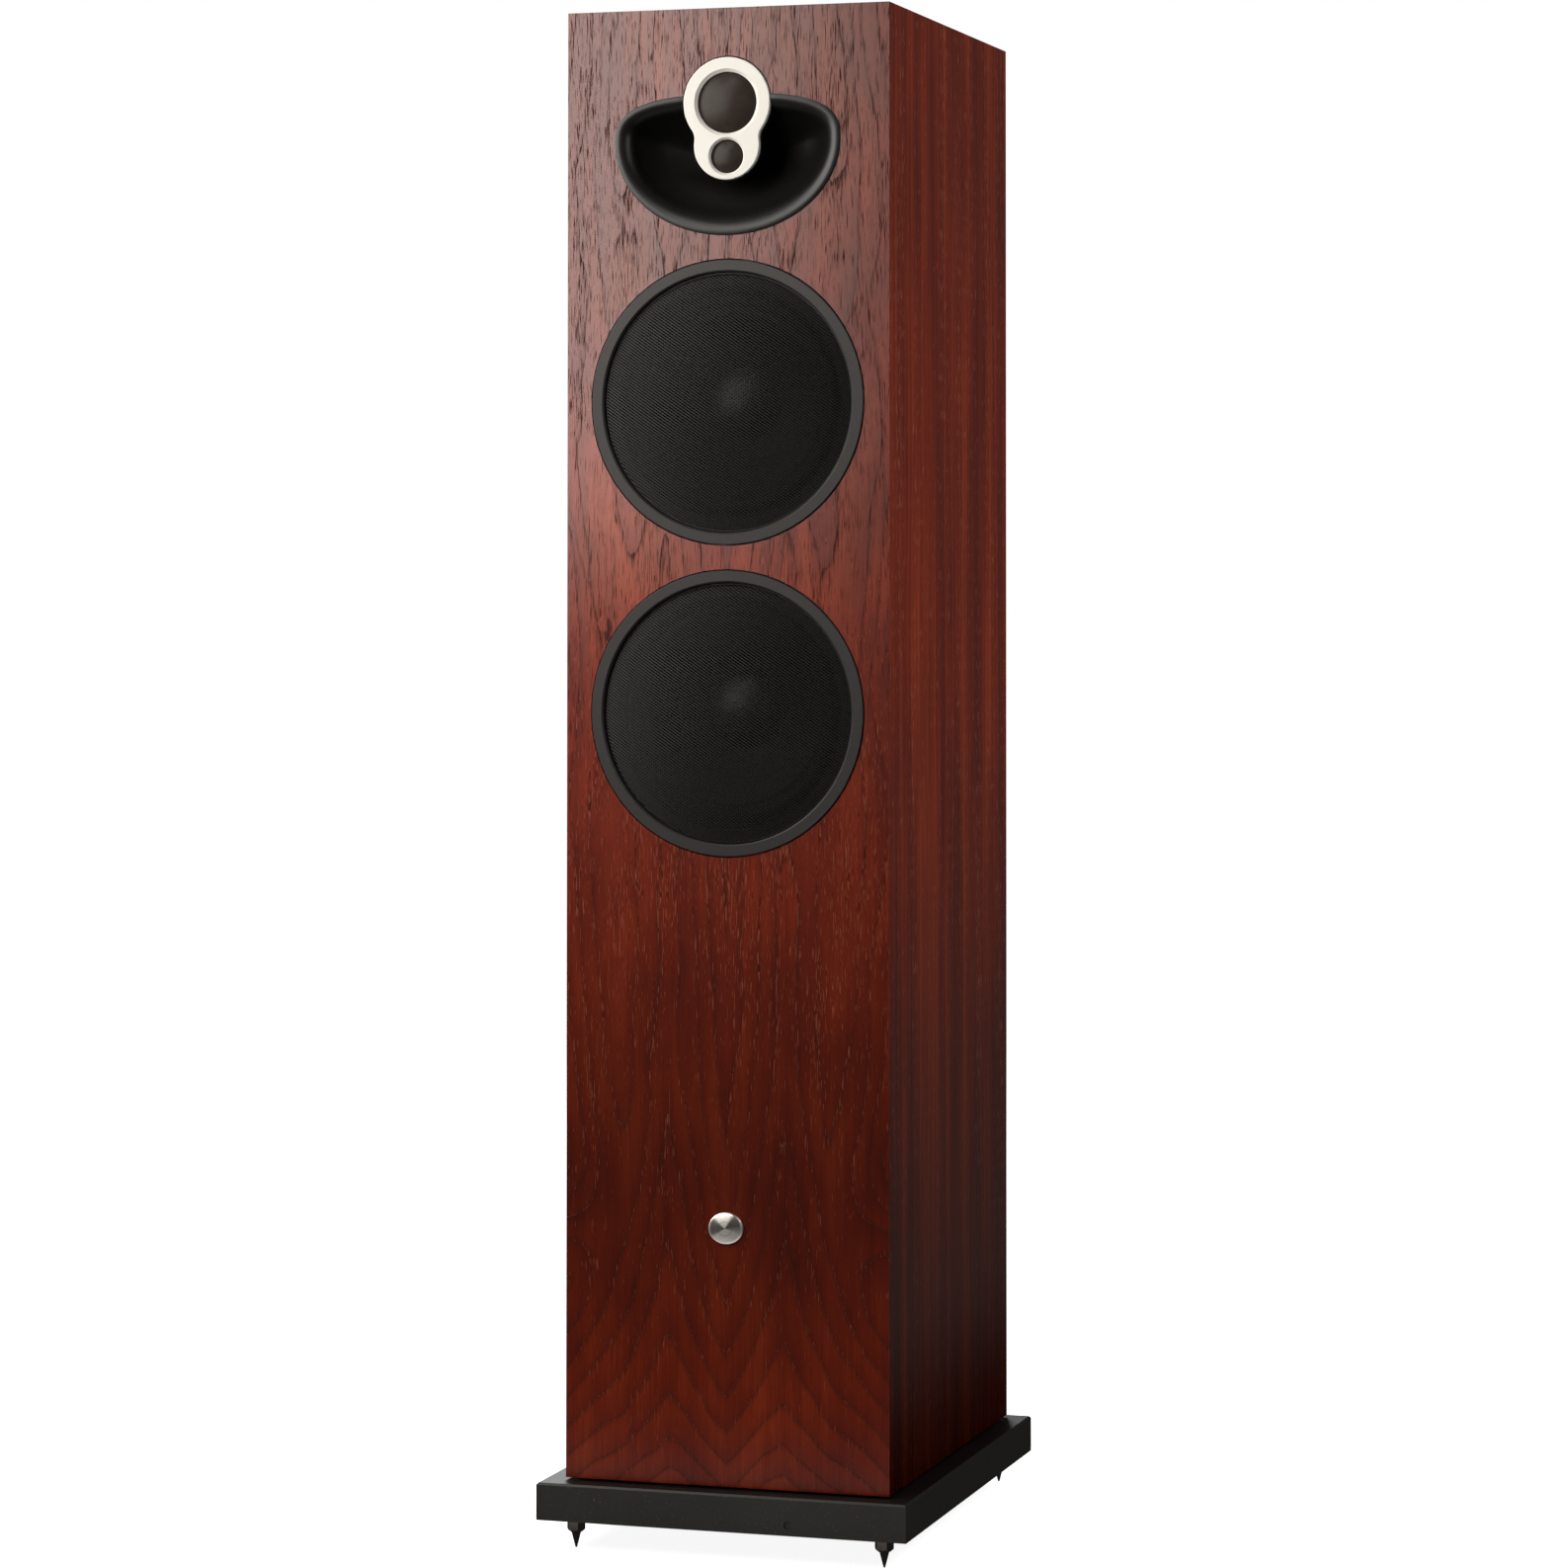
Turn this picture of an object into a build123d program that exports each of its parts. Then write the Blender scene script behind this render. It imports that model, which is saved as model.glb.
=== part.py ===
"""Floorstanding four-way loudspeaker, in millimetres.

X runs to the right seen from the front, Y runs from the front to the back and Z runs up.
The origin is on the floor, under the middle of the base plate.
Each piece is written to parts/NODE.step.
"""

import os
from math import cos, pi, radians, sin, sqrt, tan

from build123d import *

# ---- Driving dimensions ----
CABINET_WIDTH = 200
CABINET_DEPTH = 265
CABINET_HEIGHT = 870
PANEL = 18  # thickness of every cabinet panel

BASE_WIDTH = 227.5
BASE_DEPTH = 287
BASE_THICKNESS = 22
BASE_FRONT_OVERHANG = 13.5
BASE_EDGE_BEVEL = 1.2
SPACER = 1.5  # washers that hold the cabinet just clear of the base

SPIKE_RADIUS = 3.0  # M6
SPIKE_TIP_RADIUS = 0.5
SPIKE_CONE = 9.3
SPIKE_NUT_HEIGHT = 9.2
SPIKE_NUT_FLATS = 10.0
SPIKE_X = 95.3
SPIKE_FRONT_INSET = 18.7
SPIKE_REAR_INSET = 11.0
RUNNING = 0.08  # radial clearance of a screw thread in its hole

WOOFER_BELOW_TOP = (233.4, 416.9)
RING_OUTER = 84.2
RING_INNER = 77.15
RING_PROUD = 0.8

BOWL_BELOW_TOP = 79.0  # widest line of the waveguide
BOWL_HALF_WIDTH = 69.0
BOWL_DROP = 55.0
BOWL_RISE = 27.0
BOWL_DEPTH = 31.0
BOWL_LOWER_LIP = 1.5  # the lip is this many times wider at the bottom than at the sides

TWEETER_BELOW_TOP = 56.25
FASCIA_TOP_RADIUS = 26.9
FASCIA_LOW_BELOW_TOP = 81.7
FASCIA_LOW_RADIUS = 20.35
FASCIA_WAIST_RADIUS = 9.0
FASCIA_PROUD = 1.3
FASCIA_THICKNESS = 3.0
TWEETER_HOLE = 18.25
SUPERTWEETER_BELOW_TOP = 88.15
SUPERTWEETER_HOLE = 10.05

BADGE_ABOVE_BOTTOM = 151.0
BADGE_WIDTH = 21.4
BADGE_HEIGHT = 18.6

PORT_Z = 440
PORT_RADIUS = 27.0
PORT_LENGTH = 130.0
TERMINALS_Z = 150
POST_SPACING = 19.0
POST_ROWS = 42.0

# ---- Levels and planes worked out from them ----
BASE_BOTTOM = SPIKE_CONE + SPIKE_NUT_HEIGHT
BASE_TOP = BASE_BOTTOM + BASE_THICKNESS
BOTTOM = BASE_TOP + SPACER
TOP = BOTTOM + CABINET_HEIGHT
FRONT = -BASE_DEPTH / 2 + BASE_FRONT_OVERHANG
REAR = FRONT + CABINET_DEPTH
INNER_HALF_WIDTH = CABINET_WIDTH / 2 - PANEL
INNER_FRONT = FRONT + PANEL
INNER_REAR = REAR - PANEL
INNER_BOTTOM = BOTTOM + PANEL
INNER_TOP = TOP - PANEL

WOOFER_Z = {"upper": TOP - WOOFER_BELOW_TOP[0], "lower": TOP - WOOFER_BELOW_TOP[1]}
BOWL_Z = TOP - BOWL_BELOW_TOP
TWEETER_Z = TOP - TWEETER_BELOW_TOP
FASCIA_LOW_Z = TOP - FASCIA_LOW_BELOW_TOP
SUPERTWEETER_Z = TOP - SUPERTWEETER_BELOW_TOP
BADGE_Z = BOTTOM + BADGE_ABOVE_BOTTOM

# Depths of the woofer's layers behind the baffle's face
RING_DEPTH = 4.2
FLANGE = 4.0
GASKET = 1.5
REBATE = RING_DEPTH + FLANGE + GASKET
BASKET_RADIUS = 72.0
LAND_DEPTH = 16.0
WOOFER_SCREWS = 6
WOOFER_SCREW_CIRCLE = 80.7
SCREW_SHANK = 1.6
SCREW_HEAD = 2.5

FRONT_PLANE = Plane(origin=(0, FRONT, 0), x_dir=(1, 0, 0), z_dir=(0, -1, 0))
REAR_PLANE = Plane(origin=(0, REAR, 0), x_dir=(-1, 0, 0), z_dir=(0, 1, 0))

NODES = {}


# ---- Small helpers ----
def turned(*profile):
    """A solid turned about Z from (radius, height) points."""
    outline = Polyline(*profile, close=True)
    return revolve(Plane.XZ * make_face(outline), Axis.Z)


def facing_front(shape, x, z):
    """Moves a shape whose +Z is forward to a place on the baffle's face."""
    return Location((x, FRONT, z), (90, 0, 0)) * shape


def facing_rear(shape, x, z):
    """Moves a shape whose +Z is backward to a place on the rear panel's face."""
    return Location((x, REAR, z), (-90, 0, 0)) * shape


def rod(radius, low, high):
    """A cylinder about Z between two heights."""
    return Pos(0, 0, (low + high) / 2) * Cylinder(radius, high - low)


def tube(outer, inner, low, high):
    """A hollow cylinder about Z between two heights."""
    return turned((inner, low), (outer, low), (outer, high), (inner, high))


def block(x, y, z):
    """A box between three (low, high) pairs."""
    size = [pair[1] - pair[0] for pair in (x, y, z)]
    middle = [(pair[1] + pair[0]) / 2 for pair in (x, y, z)]
    return Pos(*middle) * Box(*size)


def dome(radius, sag, thickness, rim):
    """A spherical shell about Z whose rim is at height rim."""
    ball = (radius**2 + sag**2) / (2 * sag)
    centre = rim + sag - ball
    outer = Pos(0, 0, centre) * Sphere(ball)
    inner = Pos(0, 0, centre) * Sphere(ball - thickness)
    return (outer - inner) & rod(radius, rim, rim + sag + 1)


def around(shape, count, start=0.0):
    """Copies of a shape about Z."""
    return [Rot(0, 0, start + 360 * i / count) * shape for i in range(count)]


def keep(node, *shapes):
    """Writes down a node made of one or more separate solids."""
    solids = []
    for shape in shapes:
        solids += shape.solids()
    NODES[node] = solids[0] if len(solids) == 1 else Compound(children=solids)


# ---- Outlines on the baffle ----
def bowl_wire(inset, shrink=1.0):
    """The waveguide's outline: half an ellipse below, and a squarer curve above."""
    upper_power = 2.85
    throat = BOWL_Z - 12
    points = []
    count = 28
    for i in range(count):
        turn = 2 * pi * i / count
        c, s = cos(turn), sin(turn)
        power = 2 / upper_power if s > 0 else 1.0
        rise = BOWL_RISE - inset if s > 0 else BOWL_DROP - max(inset, BOWL_LOWER_LIP * inset)
        x = (BOWL_HALF_WIDTH - inset) * (1 if c > 0 else -1) * abs(c) ** power
        y = rise * (1 if s > 0 else -1) * abs(s) ** power
        points.append((x * shrink, throat + (BOWL_Z + y - throat) * shrink))
    return Spline(*points, periodic=True)


def bowl_face(inset, shrink=1.0):
    return make_face(bowl_wire(inset, shrink))


def fascia_face(inset):
    """Two discs joined by soft waists, which are arcs tangent to both."""
    top = Vector(0, TWEETER_Z)
    low = Vector(0, FASCIA_LOW_Z)
    reach_top = FASCIA_TOP_RADIUS + FASCIA_WAIST_RADIUS
    reach_low = FASCIA_LOW_RADIUS + FASCIA_WAIST_RADIUS
    gap = TWEETER_Z - FASCIA_LOW_Z
    along = (gap**2 + reach_top**2 - reach_low**2) / (2 * gap)
    across = sqrt(reach_top**2 - along**2)
    waists = []
    for side in (1, -1):
        centre = Vector(side * across, TWEETER_Z - along)
        start = top + (centre - top) * ((FASCIA_TOP_RADIUS - inset) / reach_top)
        end = low + (centre - low) * ((FASCIA_LOW_RADIUS - inset) / reach_low)
        inward = ((start + end) / 2 - centre).normalized()
        waists.append((start, centre + inward * (FASCIA_WAIST_RADIUS + inset), end))
    right, left = waists
    crown = Vector(0, TWEETER_Z + FASCIA_TOP_RADIUS - inset)
    foot = Vector(0, FASCIA_LOW_Z - FASCIA_LOW_RADIUS + inset)
    edges = [
        ThreePointArc(left[0], crown, right[0]),
        ThreePointArc(*right),
        ThreePointArc(right[2], foot, left[2]),
        ThreePointArc(*reversed(left)),
    ]
    return make_face(edges)


def on_front(face, outward_from, outward_to):
    """Extrudes a face drawn in (x, z) between two heights in front of the baffle."""
    base = FRONT_PLANE.offset(outward_from) * face
    return extrude(base, outward_to - outward_from, dir=(0, -1, 0))


# ---- Cabinet ----
def mitred(plane, width, height):
    """A panel with mitred edges, from its outer face on the plane."""
    return extrude(plane * Rectangle(width, height), PANEL, taper=45)


def woofer_cutout(z):
    rebate = rod(RING_OUTER + 0.7, -REBATE, 1)
    through = rod(BASKET_RADIUS + 0.4, -PANEL - 1, 1)
    pilot = Pos(WOOFER_SCREW_CIRCLE, 0) * rod(SCREW_SHANK + 0.05, -PANEL - 1, 0)
    shape = rebate + through
    for hole in around(pilot, WOOFER_SCREWS, 30):
        shape += hole
    return facing_front(shape, 0, z)


BOWL_FLANGE = 4.5
BOWL_FLANGE_WIDTH = 5.0
BOWL_SCREW_ANGLES = (38, 142, 222, 318)


def bowl_screw_places():
    """Four places in the middle of the waveguide's flange, on (x, z)."""
    wire = bowl_wire(BOWL_FLANGE_WIDTH / 2 + 0.2)
    return [wire @ (angle / 360) for angle in BOWL_SCREW_ANGLES]


def front_baffle():
    plane = Plane((0, FRONT, (TOP + BOTTOM) / 2), x_dir=(1, 0, 0), z_dir=(0, 1, 0))
    panel = mitred(plane, CABINET_WIDTH, CABINET_HEIGHT)
    for z in WOOFER_Z.values():
        panel -= woofer_cutout(z)
    panel -= on_front(bowl_face(-0.6), -BOWL_FLANGE, 1)
    panel -= on_front(bowl_face(BOWL_FLANGE_WIDTH - 0.4), -PANEL - 1, 0)
    panel -= facing_front(rod(FASCIA_TOP_RADIUS + 0.8, -PANEL - 1, 1), 0, TWEETER_Z)
    for place in bowl_screw_places():
        panel -= facing_front(rod(SCREW_SHANK + 0.05, -PANEL - 1, 0), place.X, place.Y)
    panel -= facing_front(rod(2.1, -10, 1), 0, BADGE_Z)
    return panel


CUP_WIDTH, CUP_HEIGHT, CUP_DEPTH = 96, 92, 26
CUP_FLANGE, CUP_FLANGE_THICKNESS, CUP_WALL = 11, 3, 2.5
PORT_FLANGE_RADIUS, PORT_FLANGE_THICKNESS = 43, 3.5
PORT_WALL = 2.5


def rounded(width, height, radius, low, high):
    """A plate with rounded corners about Z between two heights."""
    return Pos(0, 0, low) * extrude(RectangleRounded(width, height, radius), high - low)


def cup_screw_places():
    x = CUP_WIDTH / 2 + CUP_FLANGE / 2
    z = CUP_HEIGHT / 2 + CUP_FLANGE / 2
    return [(i * x, j * z) for i in (-1, 1) for j in (-1, 1)]


def rear_panel():
    plane = Plane((0, REAR, (TOP + BOTTOM) / 2), x_dir=(1, 0, 0), z_dir=(0, -1, 0))
    panel = mitred(plane, CABINET_WIDTH, CABINET_HEIGHT)
    width, height = CUP_WIDTH + 2 * CUP_FLANGE, CUP_HEIGHT + 2 * CUP_FLANGE
    rebate = rounded(width + 0.6, height + 0.6, 8.3, -CUP_FLANGE_THICKNESS, 1)
    inner = 2 * CUP_WALL + 0.6
    through = rounded(CUP_WIDTH + inner, CUP_HEIGHT + inner, 8, -PANEL - 1, 1)
    panel -= facing_rear(rebate + through, 0, TERMINALS_Z)
    for x, z in cup_screw_places():
        panel -= facing_rear(rod(SCREW_SHANK + 0.05, -PANEL - 1, 0), x, TERMINALS_Z + z)
    seat = rod(PORT_FLANGE_RADIUS + 0.4, -PORT_FLANGE_THICKNESS, 1)
    bore = rod(PORT_RADIUS + PORT_WALL + 8.5, -PANEL - 1, 1)
    panel -= facing_rear(seat + bore, 0, PORT_Z)
    return panel


def side_panel(side):
    plane = Plane(
        (side * CABINET_WIDTH / 2, (FRONT + REAR) / 2, (TOP + BOTTOM) / 2),
        x_dir=(0, 1, 0),
        z_dir=(-side, 0, 0),
    )
    return mitred(plane, CABINET_DEPTH, CABINET_HEIGHT)


def end_panel(z, up):
    plane = Plane((0, (FRONT + REAR) / 2, z), x_dir=(1, 0, 0), z_dir=(0, 0, up))
    return mitred(plane, CABINET_WIDTH, CABINET_DEPTH)


BOLT_X, BOLT_Y = 62, 88
BOLT_RADIUS = 4.0
CABINET_MIDDLE_Y = (FRONT + REAR) / 2
BOLT_PLACES = [
    (i * BOLT_X, CABINET_MIDDLE_Y + j * BOLT_Y) for i in (-1, 1) for j in (-1, 1)
]


def bottom_panel():
    panel = end_panel(BOTTOM, 1)
    for x, y in BOLT_PLACES:
        panel -= Pos(x, y) * rod(BOLT_RADIUS + RUNNING, BOTTOM - 1, INNER_BOTTOM + 1)
    return panel


BRACE_LEVELS = (340, 587)
BRACE = 16


def window_brace(z):
    """A shelf that ties the walls together, with two windows for the air."""
    x, margin, rib = INNER_HALF_WIDTH, 24, 22
    half = BRACE / 2
    shelf = block((-x, x), (INNER_FRONT, INNER_REAR), (z - half, z + half))
    middle = (INNER_FRONT + INNER_REAR) / 2
    for low, high in (
        (INNER_FRONT + margin, middle - rib / 2),
        (middle + rib / 2, INNER_REAR - margin),
    ):
        shelf -= block((-x + margin, x - margin), (low, high), (z - half - 1, z + half + 1))
    return shelf


def damping_pads():
    """Wadding on both side walls, in the bays between the braces."""
    thickness, back_gap, front_gap = 10, 22, 55
    bays = (
        (INNER_BOTTOM + 60, BRACE_LEVELS[0] - 14),
        (BRACE_LEVELS[0] + 14, BRACE_LEVELS[1] - 14),
        (BRACE_LEVELS[1] + 14, INNER_TOP - 12),
    )
    pads = []
    for side in (-1, 1):
        wall = side * INNER_HALF_WIDTH
        inner = wall - side * thickness
        for low, high in bays:
            pad = block(
                (min(wall, inner), max(wall, inner)),
                (INNER_FRONT + front_gap, INNER_REAR - back_gap),
                (low, high),
            )
            pads.append(pad)
    return pads


def cabinet():
    keep("front_baffle", front_baffle())
    keep("rear_panel", rear_panel())
    keep("left_side_panel", side_panel(-1))
    keep("right_side_panel", side_panel(1))
    keep("top_panel", end_panel(TOP, -1))
    keep("bottom_panel", bottom_panel())
    keep("window_braces", *[window_brace(z) for z in BRACE_LEVELS])
    keep("damping_pads", *damping_pads())


# ---- Woofers ----
COIL_INNER, FORMER_OUTER, COIL_OUTER = 12.5, 12.95, 13.5
GAP_OUTER = 14.2
POLE_RADIUS = 12.0
PLATE_TOP, PLATE_BOTTOM = -63.0, -69.0
MAGNET_BOTTOM, YOKE_BOTTOM = -85.0, -91.0
MAGNET_RADIUS = 44.0
SPIDER_Z = -46.0


def trim_ring():
    """The ring round the grille, hollow underneath to clear the screw heads."""
    top, floor = RING_PROUD, -RING_DEPTH
    ring = turned(
        (RING_INNER, floor),
        (RING_OUTER, floor),
        (RING_OUTER, top - 0.4),
        (RING_OUTER - 0.4, top),
        (RING_INNER + 0.9, top),
        (RING_INNER, top - 0.9),
    )
    return ring - tube(83.4, 78.0, floor - 1, -1.0)


GRILLE_RADIUS = RING_INNER - 0.35
GRILLE_RIM = -2.8
GRILLE_SAG = 3.4


def grille():
    """A shallow domed sheet in a thin rolled hoop."""
    sheet = dome(GRILLE_RADIUS - 0.6, GRILLE_SAG, 0.8, GRILLE_RIM)
    hoop = tube(GRILLE_RADIUS, GRILLE_RADIUS - 1.2, -RING_DEPTH + 0.2, GRILLE_RIM + 0.3)
    return sheet + hoop


def basket():
    """Cast frame: flange, surround land, six legs, spider ledge and motor seat."""
    flange = tube(RING_OUTER, 69.0, -RING_DEPTH - FLANGE, -RING_DEPTH)
    wall = turned(
        (69.0, -RING_DEPTH),
        (BASKET_RADIUS, -RING_DEPTH),
        (BASKET_RADIUS, -21.0),
        (42.0, -60.0),
        (42.0, PLATE_TOP),
        (17.0, PLATE_TOP),
        (17.0, -60.0),
        (36.5, -60.0),
        (36.5, SPIDER_Z - 3.5),
        (34.0, SPIDER_Z - 3.5),
        (34.0, SPIDER_Z - 1.0),
        (47.0, SPIDER_Z - 1.0),
        (64.5, -19.5),
        (64.5, -LAND_DEPTH),
        (69.0, -LAND_DEPTH),
    )
    frame = flange + wall
    window = Pos(58, 0, -36) * Box(40, 36, 24)
    for cut in around(window, 6):
        frame -= cut
    lower_window = Pos(40, 0, -54.2) * Box(16, 22, 7.5)
    for cut in around(lower_window, 6):
        frame -= cut
    hole = Pos(WOOFER_SCREW_CIRCLE, 0) * rod(SCREW_SHANK + 0.3, -10, 0)
    for cut in around(hole, WOOFER_SCREWS, 30):
        frame -= cut
    return frame


def arch(inner, outer, z, height, thickness):
    """A half roll about Z between two radii, with flat lips."""
    middle, lip, low = (inner + outer) / 2, 2.4, z - thickness
    with BuildSketch(Plane.XZ) as section:
        with BuildLine():
            Polyline((inner, z), (inner - lip, z), (inner - lip, low), (inner + thickness, low))
            ThreePointArc(
                (inner + thickness, low), (middle, low + height), (outer - thickness, low)
            )
            Polyline((outer - thickness, low), (outer + lip, low), (outer + lip, z), (outer, z))
            ThreePointArc((outer, z), (middle, z + height), (inner, z))
        make_face()
    return revolve(section.sketch, Axis.Z)


def surround():
    """Rubber roll, glued to the basket's land and over the cone's edge."""
    return arch(56.5, 66.3, -LAND_DEPTH + 0.7, 4.5, 0.7)


def cone():
    """Paper cone from its outer lip to the voice coil."""
    return turned(
        (53.9, -17.2),
        (56.2, -17.2),
        (56.2, -16.1),
        (53.6, -16.1),
        (FORMER_OUTER + 1.0, -41.4),
        (FORMER_OUTER + 1.0, -44.4),
        (FORMER_OUTER + 0.05, -44.4),
        (FORMER_OUTER + 0.05, -42.4),
    )


def dust_cap():
    return dome(22.0, 7.0, 0.7, -36.0)


def voice_coil():
    former = tube(FORMER_OUTER, COIL_INNER, -74.0, -40.0)
    winding = tube(COIL_OUTER, FORMER_OUTER, -72.5, -59.5)
    return former + winding


def spider():
    """Corrugated cloth disc that centres the coil."""
    waves, inner, outer = 4, FORMER_OUTER + 0.05, 36.2
    step = (outer - inner) / (2 * waves)
    upper = [(inner + i * step, SPIDER_Z + (1.1 if i % 2 else -0.3)) for i in range(2 * waves + 1)]
    lower = [(r, z - 0.6) for r, z in reversed(upper)]
    return turned(*upper, *lower)


def woofer_top_plate():
    return tube(40.0, GAP_OUTER, PLATE_BOTTOM, PLATE_TOP)


def woofer_magnet():
    return tube(MAGNET_RADIUS, 22.0, MAGNET_BOTTOM, PLATE_BOTTOM)


def woofer_yoke():
    """Back plate and pole in one forging, with a vent through the pole."""
    yoke = turned(
        (0, YOKE_BOTTOM),
        (38.0, YOKE_BOTTOM),
        (40.0, YOKE_BOTTOM + 2),
        (40.0, MAGNET_BOTTOM),
        (POLE_RADIUS, MAGNET_BOTTOM),
        (POLE_RADIUS, PLATE_TOP + 1.0),
        (0, PLATE_TOP + 1.0),
    )
    return yoke - rod(4.5, YOKE_BOTTOM - 1, PLATE_TOP + 2)


def wood_screw(seat, length):
    """A pan head screw about Z whose head rests on the height seat."""
    head = turned(
        (0, seat),
        (SCREW_HEAD, seat),
        (SCREW_HEAD, seat + 1.1),
        (SCREW_HEAD - 0.7, seat + 1.8),
        (0, seat + 1.8),
    )
    shank = turned(
        (0, seat - length),
        (SCREW_SHANK, seat - length + 2.5),
        (SCREW_SHANK, seat),
        (0, seat),
    )
    slot = Pos(0, 0, seat + 1.5) * (Box(0.6, 2.6, 1.0) + Box(2.6, 0.6, 1.0))
    return head + shank - slot


def gasket():
    ring = tube(RING_OUTER - 0.6, BASKET_RADIUS + 0.5, -REBATE, -REBATE + GASKET)
    hole = Pos(WOOFER_SCREW_CIRCLE, 0) * rod(SCREW_SHANK + 0.4, -12, 0)
    for cut in around(hole, WOOFER_SCREWS, 30):
        ring -= cut
    return ring


def woofers():
    separate = {
        "trim_ring": trim_ring(),
        "grille": grille(),
        "basket": basket(),
        "surround": surround(),
        "cone": cone(),
        "dust_cap": dust_cap(),
        "voice_coil": voice_coil(),
        "spider": spider(),
    }
    for place, z in WOOFER_Z.items():
        for name, shape in separate.items():
            keep(f"{place}_woofer_{name}", facing_front(shape, 0, z))
    pairs = {
        "woofer_gaskets": gasket(),
        "woofer_top_plates": woofer_top_plate(),
        "woofer_magnets": woofer_magnet(),
        "woofer_yokes": woofer_yoke(),
    }
    for node, shape in pairs.items():
        keep(node, *[facing_front(shape, 0, z) for z in WOOFER_Z.values()])


# ---- High frequency array ----
POD_BACK = -35.0
POD_CLEARANCE = 0.15
TWEETER_SEAT, SUPERTWEETER_SEAT = -24.0, -20.0


def waveguide_bowl():
    """Moulded dish with a flange, pierced for the pod that stands in it."""
    flange = on_front(bowl_face(0), -BOWL_FLANGE, -0.3)
    steps = ((BOWL_FLANGE_WIDTH, -BOWL_FLANGE), (7.5, -14.0), (12.0, -24.0), (17.0, -BOWL_DEPTH - 2.5))
    outer = loft([FRONT_PLANE.offset(z) * bowl_face(inset) for inset, z in steps])
    mouth = ((0.8, 0.5), (4.4, -2.4), (7.6, -8.2), (11.9, -13.6), (18.4, -19.4))
    sections = [FRONT_PLANE.offset(z) * bowl_face(inset) for inset, z in mouth]
    throat = ((0.68, -25.4), (0.40, -BOWL_DEPTH))
    sections += [FRONT_PLANE.offset(z) * bowl_face(18.4, shrink) for shrink, z in throat]
    cavity = loft(sections)
    bowl = flange + outer - cavity
    bowl -= on_front(fascia_face(0.8 - POD_CLEARANCE), POD_BACK - 5, 5)
    bowl -= on_front(fascia_face(-0.7), FASCIA_PROUD - FASCIA_THICKNESS - 0.4, 5)
    for place in bowl_screw_places():
        bowl -= facing_front(rod(SCREW_SHANK + 0.05, -BOWL_FLANGE - 1, -2.6), place.X, place.Y)
    return bowl


def array_pod():
    """Cast block behind the fascia that holds both dome drivers."""
    pod = on_front(fascia_face(0.8), POD_BACK, FASCIA_PROUD - FASCIA_THICKNESS)
    pod -= facing_front(rod(17.2, TWEETER_SEAT, 5), 0, TWEETER_Z)
    pod -= facing_front(rod(9.6, SUPERTWEETER_SEAT, 5), 0, SUPERTWEETER_Z)
    flange = on_front(fascia_face(-4.0), -BOWL_DEPTH - 6.0, -BOWL_DEPTH - 2.5)
    return pod + flange


def fascia_plate():
    """Satin plate with a hollow bevel round each dome."""
    back, front = FASCIA_PROUD - FASCIA_THICKNESS, FASCIA_PROUD
    plate = on_front(fascia_face(0), back, front)
    edges = plate.faces().sort_by(Axis.Y)[0].edges()
    plate = fillet(edges, 0.6)
    for z, hole in ((TWEETER_Z, TWEETER_HOLE), (SUPERTWEETER_Z, SUPERTWEETER_HOLE)):
        bevel = 1.8 if hole > 15 else 1.2
        cutter = turned(
            (0, back - 1),
            (hole, back - 1),
            (hole, front - 1.5),
            (hole + bevel, front - 0.15),
            (hole + bevel, front + 1),
            (0, front + 1),
        )
        plate -= facing_front(cutter, 0, z)
    return plate


def mesh_dome(hole, sag):
    """Guard dome with a flat lip, seated behind the fascia's hole."""
    rim = FASCIA_PROUD - FASCIA_THICKNESS + 0.4
    shell = dome(hole - 0.25, sag, 0.4, rim)
    lip = tube(hole - 0.25, hole - 0.9, rim - 0.35, rim + 0.4)
    return shell + lip


def soft_dome(radius, outer, sag, rim, coil_depth):
    """Coated cloth dome with its roll and its coil former."""
    cap = dome(radius, sag, 0.35, rim)
    roll_middle = (radius + outer) / 2
    roll = turned(
        (radius - 0.6, rim),
        (radius, rim + 0.35),
        (roll_middle, rim + 1.3),
        (outer, rim + 0.35),
        (outer, rim),
        (roll_middle, rim + 0.9),
        (radius, rim - 0.1),
        (radius - 0.3, rim - 0.4),
    )
    former = tube(radius, radius - 0.35, rim - coil_depth, rim + 0.1)
    return cap + roll + former


def dome_driver(name, z, pocket, dome_radius, sag, seat, rim):
    """One dome driver: soft dome, ring magnet and T-shaped yoke in a pocket."""
    outer = pocket - 0.3
    coil_depth = rim - seat - 5.0
    keep(f"{name}_dome", facing_front(soft_dome(dome_radius, outer, sag, rim, coil_depth), 0, z))
    plate = 3.0
    magnet_top = rim - 2.0
    magnet = tube(outer, dome_radius + 0.7, seat + plate, magnet_top)
    keep(f"{name}_magnet", facing_front(magnet, 0, z))
    pole = dome_radius - 0.9
    yoke = turned(
        (0, seat),
        (outer, seat),
        (outer, seat + plate),
        (pole, seat + plate),
        (pole, magnet_top),
        (0, magnet_top),
    )
    yoke -= rod(pole * 0.35, seat - 1, magnet_top + 1)
    keep(f"{name}_yoke", facing_front(yoke, 0, z))


def badge():
    """Oval domed button on a stem."""
    rim, sag, corner = 1.1, 1.7, 0.4
    radius = BADGE_WIDTH / 2
    button = turned((0, 0), (radius - corner, 0), (radius, corner), (radius, rim), (0, rim))
    button += dome_cap(radius, sag, rim)
    button = scale(button, by=(1, BADGE_HEIGHT / BADGE_WIDTH, 1))
    return button + rod(2.0, -9, 0.2)


def dome_cap(radius, sag, rim):
    """A solid spherical cap on the height rim."""
    ball = (radius**2 + sag**2) / (2 * sag)
    sphere = Pos(0, 0, rim + sag - ball) * Sphere(ball)
    return sphere & rod(radius, rim, rim + sag + 1)


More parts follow.
